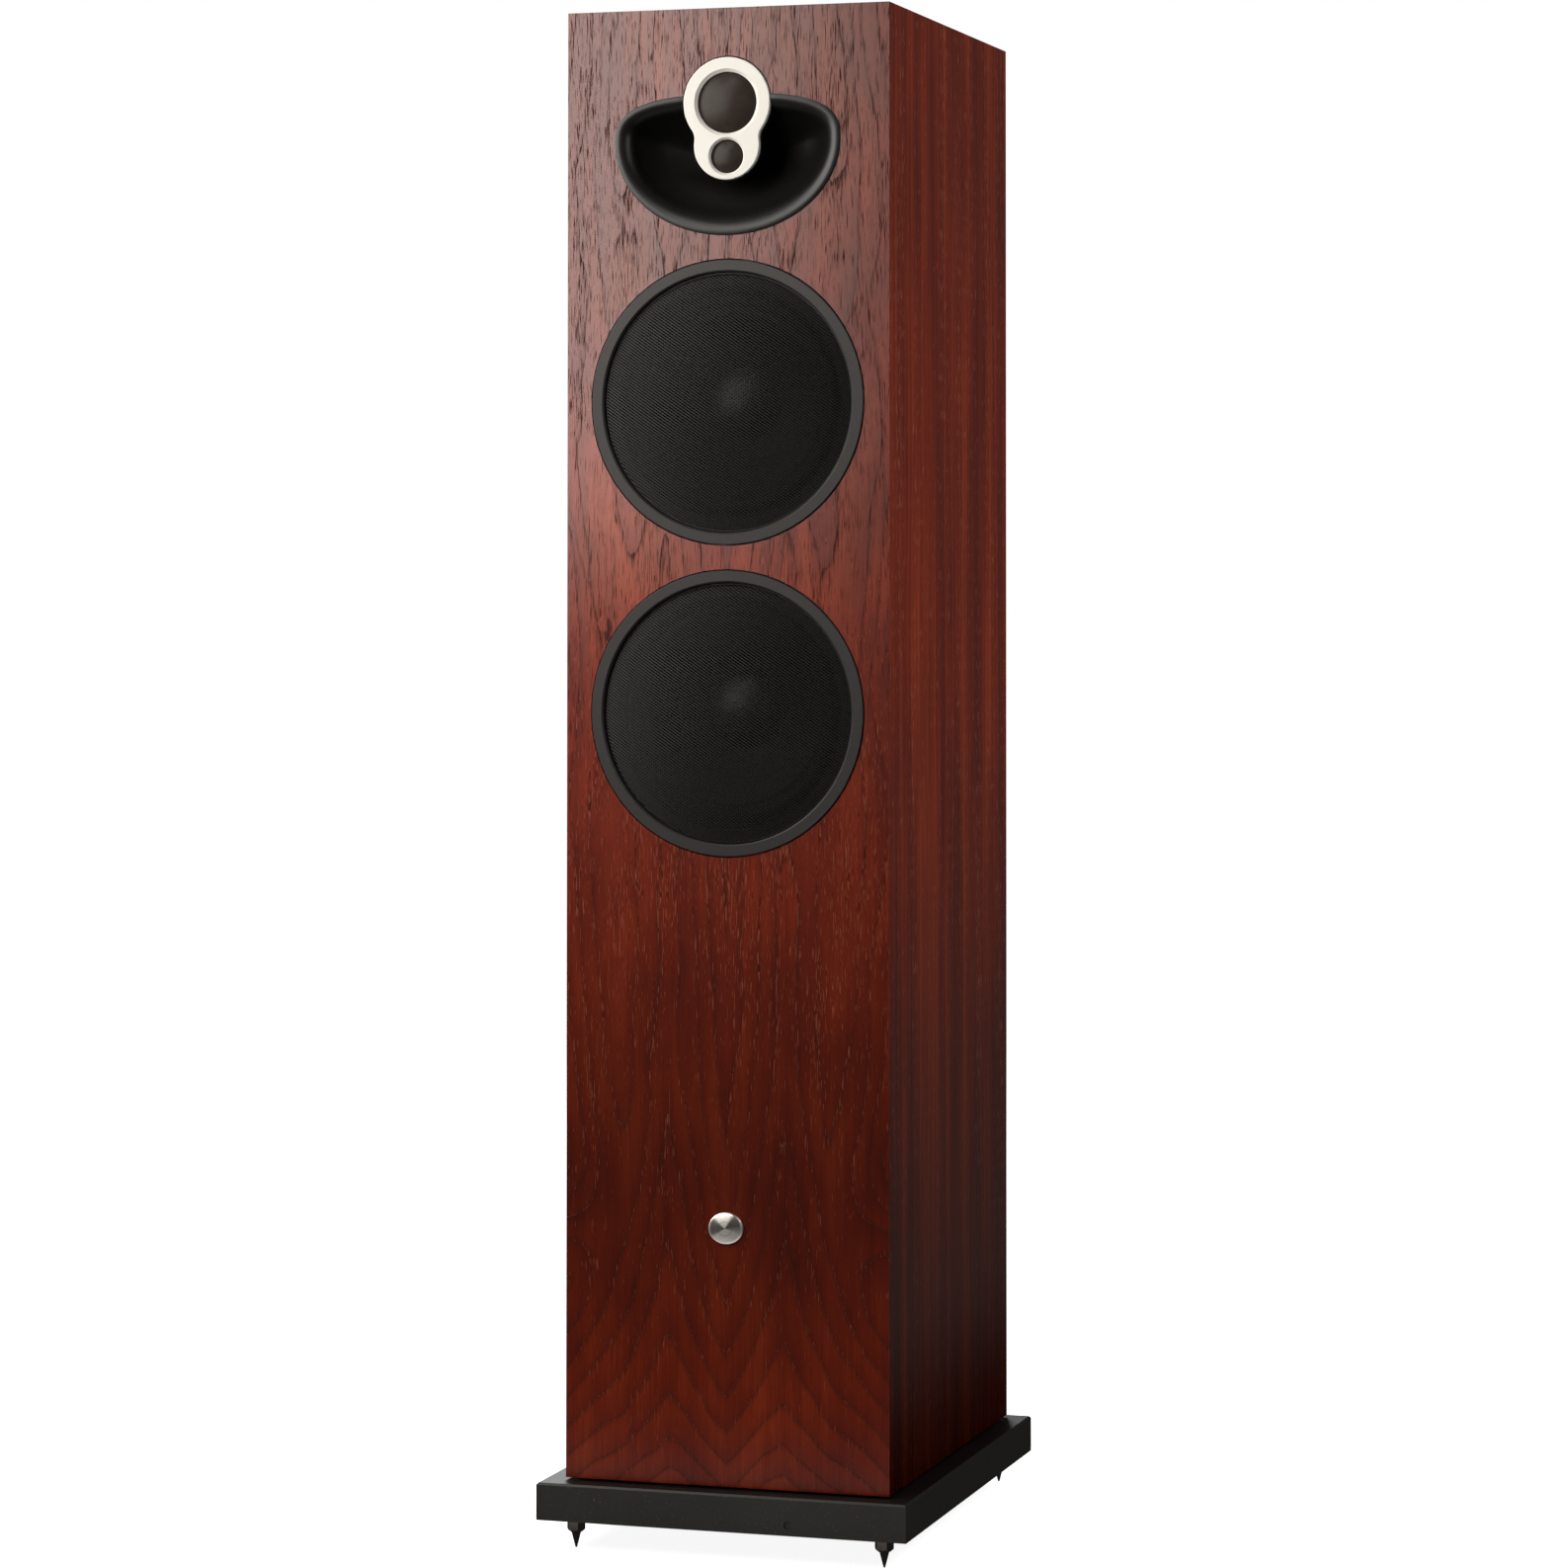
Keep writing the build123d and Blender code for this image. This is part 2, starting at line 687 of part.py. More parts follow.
def array():
    keep("waveguide_bowl", waveguide_bowl())
    keep("array_pod", array_pod())
    keep("fascia_plate", fascia_plate())
    keep("tweeter_mesh", facing_front(mesh_dome(TWEETER_HOLE, 4.2), 0, TWEETER_Z))
    keep("supertweeter_mesh", facing_front(mesh_dome(SUPERTWEETER_HOLE, 2.4), 0, SUPERTWEETER_Z))
    dome_driver("tweeter", TWEETER_Z, 17.2, 13.0, 4.2, TWEETER_SEAT, -5.2)
    dome_driver("supertweeter", SUPERTWEETER_Z, 9.6, 6.8, 2.4, SUPERTWEETER_SEAT, -4.6)
    length = PANEL - 2.9
    screws = [
        Location((place.X, FRONT + PANEL, place.Y), (-90, 0, 0)) * wood_screw(0, length)
        for place in bowl_screw_places()
    ]
    keep("array_screws", *screws)
    keep("badge", facing_front(badge(), 0, BADGE_Z))


# ---- Back of the cabinet ----
def port_tube():
    """Reflex port with a flared mouth and a rolled inner end."""
    flare, depth = 11.0, -PORT_LENGTH
    with BuildSketch(Plane.XZ) as section:
        with BuildLine():
            inner, outer = PORT_RADIUS, PORT_RADIUS + PORT_WALL
            mouth = (inner + flare, 0)
            Polyline((inner, -flare), (inner, depth), (outer, depth), (outer, -flare - 2.0))
            RadiusArc((outer, -flare - 2.0), (inner + flare, -PORT_FLANGE_THICKNESS), -flare)
            Polyline(
                (inner + flare, -PORT_FLANGE_THICKNESS),
                (PORT_FLANGE_RADIUS, -PORT_FLANGE_THICKNESS),
                (PORT_FLANGE_RADIUS, 0.0),
                mouth,
            )
            RadiusArc(mouth, (inner, -flare), flare)
        make_face()
    return facing_rear(revolve(section.sketch, Axis.Z), 0, PORT_Z)


def terminal_cup():
    """Moulded dish sunk in the rear panel, with four holes for the posts."""
    width, height = CUP_WIDTH + 2 * CUP_FLANGE, CUP_HEIGHT + 2 * CUP_FLANGE
    cup = rounded(width, height, 8, -CUP_FLANGE_THICKNESS, 0)
    wall = 2 * CUP_WALL
    cup += rounded(CUP_WIDTH + wall, CUP_HEIGHT + wall, 7.5, -CUP_DEPTH - 3, -1)
    cup -= rounded(CUP_WIDTH, CUP_HEIGHT, 6, -CUP_DEPTH, 1)
    for x, z in post_places():
        cup -= Pos(x, z) * rod(POST_THREAD + 0.1, -CUP_DEPTH - 4, 0)
    for x, z in cup_screw_places():
        cup -= Pos(x, z) * rod(SCREW_SHANK + 0.2, -5, 1)
    return facing_rear(cup, 0, TERMINALS_Z)


POST_RADIUS, POST_BORE, POST_THREAD = 4.0, 2.0, 3.0
POST_COLLAR, POST_COLLAR_RADIUS, POST_LENGTH, POST_TAIL = 3.0, 7.6, 16.0, 14.0
CAP_RADIUS = 7.8


def post_places():
    """Post centres on (x, z), with the left pair negative from behind."""
    return [(i * POST_SPACING / 2, j * POST_ROWS / 2) for j in (1, -1) for i in (-1, 1)]


def post():
    """Metal binding post: collar, bored stud with a wire hole, and rear thread."""
    floor = -CUP_DEPTH
    stud_low = floor + POST_COLLAR
    shape = rod(POST_COLLAR_RADIUS, floor, stud_low)
    shape += rod(POST_RADIUS, stud_low, stud_low + POST_LENGTH)
    shape += rod(POST_THREAD, floor - POST_TAIL, floor)
    shape -= rod(POST_BORE, stud_low + 4.5, stud_low + POST_LENGTH + 1)
    wire_hole = Pos(0, 0, stud_low + 2.6) * Rot(90, 0, 0) * Cylinder(1.5, 12)
    return shape - wire_hole


def post_nut():
    """Hexagon nut that clamps the post behind the cup's floor."""
    top = -CUP_DEPTH - 3
    nut = Pos(0, 0, top - 4) * extrude(RegularPolygon(5.0, 6, major_radius=False), 4)
    return nut - rod(POST_THREAD + RUNNING, top - 6, top + 1)


def cap():
    """Fluted plastic nut that slides and turns on the post."""
    low = -CUP_DEPTH + POST_COLLAR + 0.2
    high = low + POST_LENGTH - 0.6
    shape = turned(
        (POST_RADIUS + RUNNING, low),
        (CAP_RADIUS - 0.5, low),
        (CAP_RADIUS, low + 0.5),
        (CAP_RADIUS, high - 1.0),
        (CAP_RADIUS - 1.0, high),
        (POST_RADIUS + RUNNING, high),
    )
    flute = Pos(CAP_RADIUS + 0.7, 0, 0) * rod(1.2, low + 2.5, high + 1)
    for cut in around(flute, 14):
        shape -= cut
    return shape


def terminals():
    keep("terminal_cup", terminal_cup())
    places = post_places()
    posts = [facing_rear(post(), x, TERMINALS_Z + z) for x, z in places]
    nuts = [facing_rear(post_nut(), x, TERMINALS_Z + z) for x, z in places]
    keep("terminal_posts", *posts, *nuts)
    names = ("treble_red", "treble_black", "bass_red", "bass_black")
    for name, (x, z) in zip(names, places):
        keep(f"binding_cap_{name}", facing_rear(cap(), x, TERMINALS_Z + z))
    keep("port_tube", port_tube())


def panel_screws():
    """The woofers' and the terminal cup's screws, which are all alike."""
    screw = wood_screw(-RING_DEPTH, 12.5)
    ring = around(Pos(WOOFER_SCREW_CIRCLE, 0) * screw, WOOFER_SCREWS, 30)
    shapes = [facing_front(s, 0, z) for z in WOOFER_Z.values() for s in ring]
    rear_screw = wood_screw(0, 12.5)
    for x, z in cup_screw_places():
        shapes.append(facing_rear(rear_screw, x, TERMINALS_Z + z))
    keep("panel_screws", *shapes)


# ---- Crossover and wiring ----
BOARD_Z = INNER_BOTTOM + 8
BOARD_TOP = BOARD_Z + 1.6
BOARD_X, BOARD_Y = 60, (-70, 70)


def crossover():
    """Filter board on four pillars above the floor of the cabinet."""
    board = block((-BOARD_X, BOARD_X), BOARD_Y, (BOARD_Z, BOARD_TOP))
    for x in (-BOARD_X + 8, BOARD_X - 8):
        for y in (BOARD_Y[0] + 8, BOARD_Y[1] - 8):
            board += Pos(x, y) * rod(3, INNER_BOTTOM, BOARD_Z)
    keep("crossover_board", board)
    parts = []
    for x, y, outer, height in ((-36, -42, 20, 18), (30, -44, 17, 15), (-38, 40, 14, 13)):
        parts.append(Pos(x, y) * tube(outer, outer * 0.5, BOARD_TOP, BOARD_TOP + height))
    for y, radius, length in ((-14, 9, 42), (6, 8, 36), (25, 7, 32)):
        can = Rot(0, 90, 0) * Cylinder(radius, length)
        parts.append(Pos(26, y, BOARD_TOP + radius) * can)
    for i in range(3):
        y = 40 + 10 * i
        parts.append(block((16, 48), (y, y + 8), (BOARD_TOP, BOARD_TOP + 8)))
    keep("crossover_components", *parts)


def lead(points, radii, radius=1.6):
    """A sheathed pair of wires along straight runs joined by arcs."""
    path = FilletPolyline(*points, radius=radii)
    start = Plane(path @ 0, z_dir=path % 0)
    return sweep(start * Circle(radius), path)


def internal_wiring():
    """Leads from the terminals to the board and from the board to the drivers."""
    post_end = REAR - CUP_DEPTH - POST_TAIL
    leads = []
    for x, row in post_places():
        z = TERMINALS_Z + row
        bend, foot = (64, 50) if row > 0 else (76, 62)
        rise = BOARD_TOP + 14
        points = [(x, post_end, z), (x, bend, z), (x, foot, rise), (x, foot, BOARD_TOP)]
        leads.append(lead(points, 6))
    for place, x, y in (("upper", 54, -30), ("lower", -54, -20)):
        z = WOOFER_Z[place]
        side = 1 if x > 0 else -1
        end = (side * 31.5, FRONT + 62, z - 31.5)
        leads.append(lead([(x, y, BOARD_TOP), (x, y, z - 62), end], 14))
    pod_back = FRONT + BOWL_DEPTH + 6
    points = [
        (54, 22, BOARD_TOP),
        (54, 22, 730),
        (8, pod_back + 40, TWEETER_Z - 6),
        (8, pod_back, TWEETER_Z - 6),
    ]
    leads.append(lead(points, 14))
    keep("internal_wiring", *leads)


# ---- Base ----
def base_plate():
    half_x, half_y = BASE_WIDTH / 2, BASE_DEPTH / 2
    plate = block((-half_x, half_x), (-half_y, half_y), (BASE_BOTTOM, BASE_TOP))
    plate = chamfer(plate.faces().sort_by(Axis.Z)[-1].edges(), BASE_EDGE_BEVEL)
    for x, y in BOLT_PLACES:
        plate -= Pos(x, y) * rod(BOLT_RADIUS + 0.2, BASE_BOTTOM - 1, BASE_TOP + 1)
        plate -= Pos(x, y) * rod(9.0, BASE_BOTTOM - 1, BASE_BOTTOM + 9)
    for x, y in SPIKE_PLACES.values():
        plate -= Pos(x, y) * rod(SPIKE_RADIUS + RUNNING, BASE_BOTTOM - 1, BASE_TOP - 1.5)
    plug_hole = Pos(42.2, -half_y, BASE_BOTTOM + 6.2) * Rot(90, 0, 0) * Cylinder(2.4, 1.6)
    return plate - plug_hole


SPIKE_PLACES = {
    f"{end}_{side}": (i * SPIKE_X, y)
    for end, y in (
        ("front", -BASE_DEPTH / 2 + SPIKE_FRONT_INSET),
        ("rear", BASE_DEPTH / 2 - SPIKE_REAR_INSET),
    )
    for side, i in (("left", -1), ("right", 1))
}


def base_bolt():
    """Socket head bolt from under the base into the cabinet's floor."""
    head_low, head_high = BASE_BOTTOM + 2, BASE_BOTTOM + 9
    bolt = rod(6.5, head_low, head_high) + rod(BOLT_RADIUS, head_high, BOTTOM + 14)
    socket = Pos(0, 0, head_low - 1) * extrude(RegularPolygon(3, 6, major_radius=False), 5)
    return bolt - socket


def spike():
    shank_top = BASE_BOTTOM + 18
    return turned(
        (0, 0),
        (SPIKE_TIP_RADIUS, 0),
        (SPIKE_RADIUS, SPIKE_CONE),
        (SPIKE_RADIUS, shank_top - 0.8),
        (SPIKE_RADIUS - 0.8, shank_top),
        (0, shank_top),
    )


def spike_nut():
    """Tall lock nut with a coned lower end."""
    low, high = SPIKE_CONE, BASE_BOTTOM
    nut = Pos(0, 0, low) * extrude(
        RegularPolygon(SPIKE_NUT_FLATS / 2, 6, major_radius=False), high - low
    )
    corner = SPIKE_NUT_FLATS / 2 / cos(pi / 6) + 0.1
    bevel = 2.2
    drop = bevel * tan(radians(40))
    envelope = turned((0, low), (corner - bevel, low), (corner, low + drop), (corner, high), (0, high))
    return (nut & envelope) - rod(SPIKE_RADIUS + RUNNING, low - 1, high + 1)


def base():
    keep("base_plate", base_plate())
    spacer = tube(10.0, BOLT_RADIUS + 0.2, BASE_TOP, BOTTOM)
    keep("base_bolts", *[Pos(x, y) * base_bolt() for x, y in BOLT_PLACES])
    keep("base_spacers", *[Pos(x, y) * spacer for x, y in BOLT_PLACES])
    keep("spike_nuts", *[Pos(x, y) * spike_nut() for x, y in SPIKE_PLACES.values()])
    for place, (x, y) in SPIKE_PLACES.items():
        keep(f"spike_{place}", Pos(x, y) * spike())


cabinet()
woofers()
array()
terminals()
panel_screws()
crossover()
internal_wiring()
base()

os.makedirs("parts", exist_ok=True)
for node, shape in NODES.items():
    export_step(shape, f"parts/{node}.step")
print(len(NODES), "nodes")
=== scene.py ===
"""Looks of the floorstanding speaker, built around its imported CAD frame. Metres, +Z up, front towards -Y."""

import math

import bpy
import numpy as np
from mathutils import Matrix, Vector


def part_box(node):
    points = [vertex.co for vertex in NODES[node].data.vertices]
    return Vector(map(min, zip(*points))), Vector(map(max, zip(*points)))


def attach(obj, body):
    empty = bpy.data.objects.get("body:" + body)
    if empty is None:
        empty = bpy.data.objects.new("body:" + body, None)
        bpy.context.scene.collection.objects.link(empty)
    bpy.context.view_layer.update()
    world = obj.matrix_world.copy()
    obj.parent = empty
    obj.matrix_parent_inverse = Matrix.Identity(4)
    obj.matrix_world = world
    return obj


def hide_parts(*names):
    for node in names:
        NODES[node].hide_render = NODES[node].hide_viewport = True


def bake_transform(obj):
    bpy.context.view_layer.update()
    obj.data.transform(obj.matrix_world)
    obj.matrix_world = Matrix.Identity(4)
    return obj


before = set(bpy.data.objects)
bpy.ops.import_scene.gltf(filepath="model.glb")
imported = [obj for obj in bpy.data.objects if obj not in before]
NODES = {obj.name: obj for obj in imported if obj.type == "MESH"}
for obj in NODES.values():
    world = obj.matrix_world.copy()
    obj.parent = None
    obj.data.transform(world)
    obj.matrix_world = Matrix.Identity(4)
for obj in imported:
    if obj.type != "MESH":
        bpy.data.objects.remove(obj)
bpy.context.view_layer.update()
ROOT = "cabinet"
MM = 0.001


# ---- Node graphs ----
class Graph:
    """A material's node tree, built with short calls that return sockets."""

    def __init__(self, name):
        self.material = bpy.data.materials.new(name)
        self.material.use_nodes = True
        self.tree = self.material.node_tree
        self.tree.nodes.clear()
        self.shader = self.add("ShaderNodeBsdfPrincipled")
        output = self.add("ShaderNodeOutputMaterial")
        self.tree.links.new(self.shader.outputs[0], output.inputs["Surface"])
        self.place = self.add("ShaderNodeTexCoord").outputs["Object"]

    def add(self, kind, **settings):
        node = self.tree.nodes.new(kind)
        for key, value in settings.items():
            setattr(node, key, value)
        return node

    def put(self, node, socket, value):
        target = node.inputs[socket]
        if isinstance(value, bpy.types.NodeSocket):
            self.tree.links.new(value, target)
        else:
            target.default_value = value

    def math(self, operation, a, b=0.0, c=0.0):
        node = self.add("ShaderNodeMath", operation=operation)
        for i, value in enumerate((a, b, c)):
            self.put(node, i, value)
        return node.outputs[0]

    def split(self, vector):
        node = self.add("ShaderNodeSeparateXYZ")
        self.put(node, 0, vector)
        return node.outputs[0], node.outputs[1], node.outputs[2]

    def vector(self, x=0.0, y=0.0, z=0.0):
        node = self.add("ShaderNodeCombineXYZ")
        for i, value in enumerate((x, y, z)):
            self.put(node, i, value)
        return node.outputs[0]

    def noise(self, vector, scale=1.0, detail=2.0, rough=0.5):
        node = self.add("ShaderNodeTexNoise")
        self.put(node, "Vector", vector)
        self.put(node, "Scale", scale)
        self.put(node, "Detail", detail)
        self.put(node, "Roughness", rough)
        return node.outputs["Fac"]

    def ramp(self, value, *stops):
        """stops are (position, grey or colour)."""
        node = self.add("ShaderNodeValToRGB")
        elements = node.color_ramp.elements
        while len(elements) < len(stops):
            elements.new(0.5)
        for element, (position, colour) in zip(elements, stops):
            element.position = position
            grey = not hasattr(colour, "__len__")
            element.color = (colour, colour, colour, 1) if grey else (*colour, 1)
        self.put(node, 0, value)
        return node.outputs[0]

    def smooth(self, value, low, high, out_low=0.0, out_high=1.0):
        node = self.add("ShaderNodeMapRange", interpolation_type="SMOOTHSTEP")
        for i, x in enumerate((value, low, high, out_low, out_high)):
            self.put(node, i, x)
        return node.outputs[0]

    def mix(self, factor, a, b):
        node = self.add("ShaderNodeMix", data_type="RGBA")
        self.put(node, "Factor", factor)
        for key, value in (("A", a), ("B", b)):
            index = 6 if key == "A" else 7
            if not isinstance(value, bpy.types.NodeSocket):
                value = (*value, 1)
            self.put(node, index, value)
        return node.outputs[2]

    def scaled(self, colour, amount):
        node = self.add("ShaderNodeVectorMath", operation="SCALE")
        self.put(node, 0, colour)
        self.put(node, "Scale", amount)
        return node.outputs[0]

    def bump(self, height, strength, distance):
        node = self.add("ShaderNodeBump")
        self.put(node, "Height", height)
        node.inputs["Strength"].default_value = strength
        node.inputs["Distance"].default_value = distance
        self.put(self.shader, "Normal", node.outputs[0])

    def set(self, **values):
        names = {
            "color": "Base Color",
            "rough": "Roughness",
            "metal": "Metallic",
            "specular": "Specular IOR Level",
            "coat": "Coat Weight",
            "coat_rough": "Coat Roughness",
            "glow": "Emission Color",
            "glow_strength": "Emission Strength",
        }
        for key, value in values.items():
            if key in ("color", "glow") and not isinstance(value, bpy.types.NodeSocket):
                value = (*value, 1)
            self.put(self.shader, names[key], value)
        return self.material


# ---- Materials ----
WOOD_DEEP = (0.064, 0.0042, 0.0008)
WOOD_MID = (0.116, 0.0092, 0.0010)
WOOD_PALE = (0.192, 0.0215, 0.0040)
WOOD_LINE = (0.034, 0.0105, 0.0070)
# Pore fillings. The pale and bright ones also carry painted glints, light caught at the pores' edges.
WOOD_PORE_DARK = (0.022, 0.0060, 0.0042)
WOOD_PORE_PALE = (0.210, 0.0560, 0.0330)
WOOD_PORE_BRIGHT = (0.300, 0.1050, 0.0650)

CABINET_BOTTOM = 42.0  # mm above the spike tips
CABINET_HEIGHT = 870.0


def veneer(name, across, along, seed, matched):
    """Stained open-pore veneer. across and along are 0, 1 or 2: the axes over and down the grain."""
    g = Graph(name)
    axes = g.split(g.place)
    u = g.math("MULTIPLY", axes[across], 1000.0)
    v = g.math("MULTIPLY_ADD", axes[along], 1000.0, -CABINET_BOTTOM if along == 2 else 140.0)
    mirrored = g.math("ABSOLUTE", u)
    side = g.math("MULTIPLY", g.math("GREATER_THAN", u, 0.0), 1.6)
    across_noise = g.math("ADD", mirrored, side) if matched else u

    def stretched(x, per_u, per_v, offset=0.0):
        return g.vector(
            g.math("MULTIPLY", x, per_u), g.math("MULTIPLY", v, per_v), seed + offset
        )

    sway = g.noise(stretched(across_noise, 1 / 46, 1 / 210), 1.0, 1.0)
    wander = g.noise(stretched(u, 1 / 15, 1 / 55, 3.0), 1.0, 1.0)
    jitter = g.noise(stretched(u, 1 / 2.4, 1 / 8.0, 6.0), 1.0, 1.0)

    if matched:
        # Peaks stand 36 mm from the middle, and valleys 62 mm from it above the lowest part
        bend = g.math("MULTIPLY_ADD", sway, 16.0, -8.0)
        offset = g.math("SUBTRACT", mirrored, 36.0)
        inner = g.math("SUBTRACT", 36.0, g.math("SQRT", g.math("MULTIPLY_ADD", offset, offset, 4.0)))
        beyond = g.math("SUBTRACT", g.math("ADD", mirrored, bend), 62.0)
        wide = g.smooth(v, 150.0, 380.0, 3.0, 60.0)
        rise = g.math("ADD", g.math("SQRT", g.math("MULTIPLY_ADD", beyond, beyond, wide)), beyond)
        turned_up = g.math("MULTIPLY", rise, g.smooth(v, 100.0, 200.0))
        across_rings = g.math("ADD", inner, turned_up)
        tight = g.smooth(v, 10.0, 190.0, 1 / 21.0, 1 / 10.5)
        fade = g.math("EXPONENT", g.math("MULTIPLY", v, -1 / 150.0))
        rings = g.math("MULTIPLY_ADD", across_rings, tight, g.math("MULTIPLY", fade, 9.3))
        rings = g.math("MULTIPLY_ADD", v, -1 / 420.0, rings)
        rings = g.math("MULTIPLY_ADD", sway, g.smooth(v, 150.0, 480.0, 0.9, 3.2), rings)
        rings = g.math("MULTIPLY_ADD", wander, g.smooth(v, 60.0, 380.0, 0.35, 0.85), rings)
    else:
        rings = g.math("MULTIPLY_ADD", u, 1 / 8.0, g.math("MULTIPLY", v, 1 / 900.0))
        rings = g.math("MULTIPLY_ADD", sway, 1.6, rings)
        rings = g.math("MULTIPLY_ADD", wander, 0.22, rings)
    rings = g.math("MULTIPLY_ADD", jitter, 0.09 if matched else 0.03, rings)
    phase = g.math("FRACT", rings)
    ring_number = g.math("FLOOR", rings)

    line = g.ramp(phase, (0.0, 1.0), (0.022, 0.90), (0.048, 0.25), (0.16, 0.05), (0.35, 0.0), (0.985, 0.0))
    band = g.ramp(phase, (0.0, 0.20), (0.18, 0.85), (0.60, 0.60), (1.0, 0.10))
    per_ring = g.noise(g.vector(ring_number, seed, 0.0), 0.73, 0.0)

    cloud = g.noise(stretched(u, 1 / 38, 1 / 90, 9.0), 1.0, 3.0, 0.6)
    streak = g.noise(stretched(u, 1 / 5.5, 1 / 160, 10.5), 1.0, 2.0, 0.6)
    fibre = g.noise(stretched(u, 1.1, 1 / 34, 12.0), 1.0, 2.0, 0.6)
    tone = g.math("MULTIPLY_ADD", per_ring, 0.30, g.math("MULTIPLY", band, 0.22))
    tone = g.math("MULTIPLY_ADD", g.math("SUBTRACT", cloud, 0.5), 0.75 if matched else 0.35, tone)
    tone = g.math("MULTIPLY_ADD", g.math("SUBTRACT", streak, 0.5), 0.30 if matched else 0.55, tone)
    if not matched:
        board = g.noise(stretched(u, 1 / 26, 1 / 420, 11.2), 1.0, 1.0)
        tone = g.math("MULTIPLY_ADD", g.math("SUBTRACT", board, 0.5), 1.1, tone)
    tone = g.math("MULTIPLY_ADD", g.math("SUBTRACT", fibre, 0.5), 0.34 if matched else 0.16, tone)
    wood = g.ramp(tone, (0.0, WOOD_DEEP), (0.28, WOOD_MID), (0.62, WOOD_PALE))
    # Brightness set by height on the panel. On the front and back: darker and lighter bands at set heights. On
    # the sides: painted shade, darker towards the bottom.
    if matched:
        stops = (
            (0.0, 0.62), (0.09, 0.51), (0.20, 0.36), (0.34, 0.50), (0.60, 0.90), (0.80, 0.57), (1.0, 0.49),
        )
    else:
        stops = (
            (0.0, 0.18), (0.05, 0.26), (0.14, 0.45), (0.27, 0.66),
            (0.42, 0.93), (0.56, 1.0), (0.70, 0.86), (0.90, 0.62),
        )
    depth = g.math("MULTIPLY", g.ramp(g.math("MULTIPLY", v, 1 / CABINET_HEIGHT), *stops), 1.6)
    if matched:
        # Painted shade: the half towards +X is darker at mid height
        middle = g.math("MULTIPLY", g.smooth(v, 330.0, 460.0), g.smooth(v, 600.0, 720.0, 1.0, 0.0))
        darker = g.math("MULTIPLY", middle, g.smooth(u, 20.0, 95.0, 0.0, -0.26))
        wood = g.scaled(wood, g.math("MULTIPLY", depth, g.math("ADD", darker, 1.0)))

    # Pores: short streaks along the grain, crowded where each ring begins
    dash = g.noise(stretched(u, 2.3 if matched else 1.5, 1 / 11.0, 15.0), 1.0, 1.0, 0.5)
    tiny = g.noise(stretched(u, 2.8, 1 / 4.2, 18.0), 1.0, 1.0, 0.5)
    patch = g.noise(stretched(u, 1 / 17, 1 / 85 if matched else 1 / 500, 21.0), 1.0, 1.0)
    up = g.smooth(v, 90.0, 480.0, -0.110, -0.002) if matched else -0.118
    crowd = g.math("MULTIPLY", g.math("POWER", line, 0.5), 0.15 if matched else 0.03)
    crowd = g.math("MULTIPLY_ADD", patch, 0.20 if matched else 0.30, crowd)
    pores = g.smooth(g.math("ADD", g.math("ADD", dash, crowd), up), 0.710, 0.750)
    specks = g.smooth(g.math("ADD", g.math("MULTIPLY_ADD", patch, 0.10, tiny), up), 0.715, 0.775)
    open_pore = g.math("MAXIMUM", pores, g.math("MULTIPLY", specks, 0.75))
    if matched:
        shown = ((0.0, 0.55), (0.34, 0.85), (0.48, 0.90), (0.58, 0.85), (0.70, 0.90), (0.84, 1.0))
        open_pore = g.math("MULTIPLY", open_pore, g.ramp(g.math("MULTIPLY", v, 1 / CABINET_HEIGHT), *shown))
    seam = g.math("MULTIPLY", line, g.smooth(dash, 0.34, 0.60, g.smooth(v, 250.0, 480.0, 0.85, 0.35), 1.0))

    strength = g.smooth(v, 250.0, 520.0, 0.95, 0.75) if matched else 0.35
    colour = g.mix(g.math("MULTIPLY", seam, strength), wood, WOOD_LINE)
    # Pore filling: dark high on the front and back, pale lower down, bright on the sides and top. The change
    # with height is painted light: painted shade above, where the pores miss the sheen, and painted glints
    # below.
    pale = g.noise(stretched(u, 0.9, 1 / 6.0, 24.0), 1.0, 0.0)
    fill = g.math("ADD", pale, g.smooth(v, 300.0, 620.0, 0.06, -0.40) if matched else 0.05)
    filler_and_glint = g.mix(g.smooth(fill, 0.38, 0.52), WOOD_PORE_DARK, WOOD_PORE_PALE)
    if not matched:
        filler_and_glint = g.mix(g.smooth(g.math("ADD", pale, patch), 0.62, 0.90), WOOD_PORE_PALE, WOOD_PORE_BRIGHT)
    colour = g.mix(g.math("MULTIPLY", open_pore, 0.88 if matched else 0.60), colour, filler_and_glint)
    # Painted shade on the side panels: darker towards the bottom
    if along == 2 and not matched:
        colour = g.scaled(colour, depth)
    sunk = g.math("MAXIMUM", open_pore, g.math("MULTIPLY", seam, 0.9)) if matched else 0.0
    lacquer = g.math("SUBTRACT", 1.0, g.math("MULTIPLY", sunk, 0.92))
    # Painted shade: less lacquer gloss near the foot of each upright panel, so the lowest wood reflects little
    # light
    if along == 2:
        lacquer = g.math("MULTIPLY", lacquer, g.smooth(v, 10.0, 110.0, 0.55 if matched else 0.10, 1.0))
    g.set(color=colour, specular=0.0, coat=lacquer, coat_rough=0.26)
    g.set(rough=g.math("MULTIPLY_ADD", fibre, 0.10, 0.50))
    height = g.math("MULTIPLY_ADD", fibre, 0.10, g.math("MULTIPLY", open_pore, -1.0))
    g.bump(height, 0.25 if matched else 0.08, 0.00008)
    return g.material


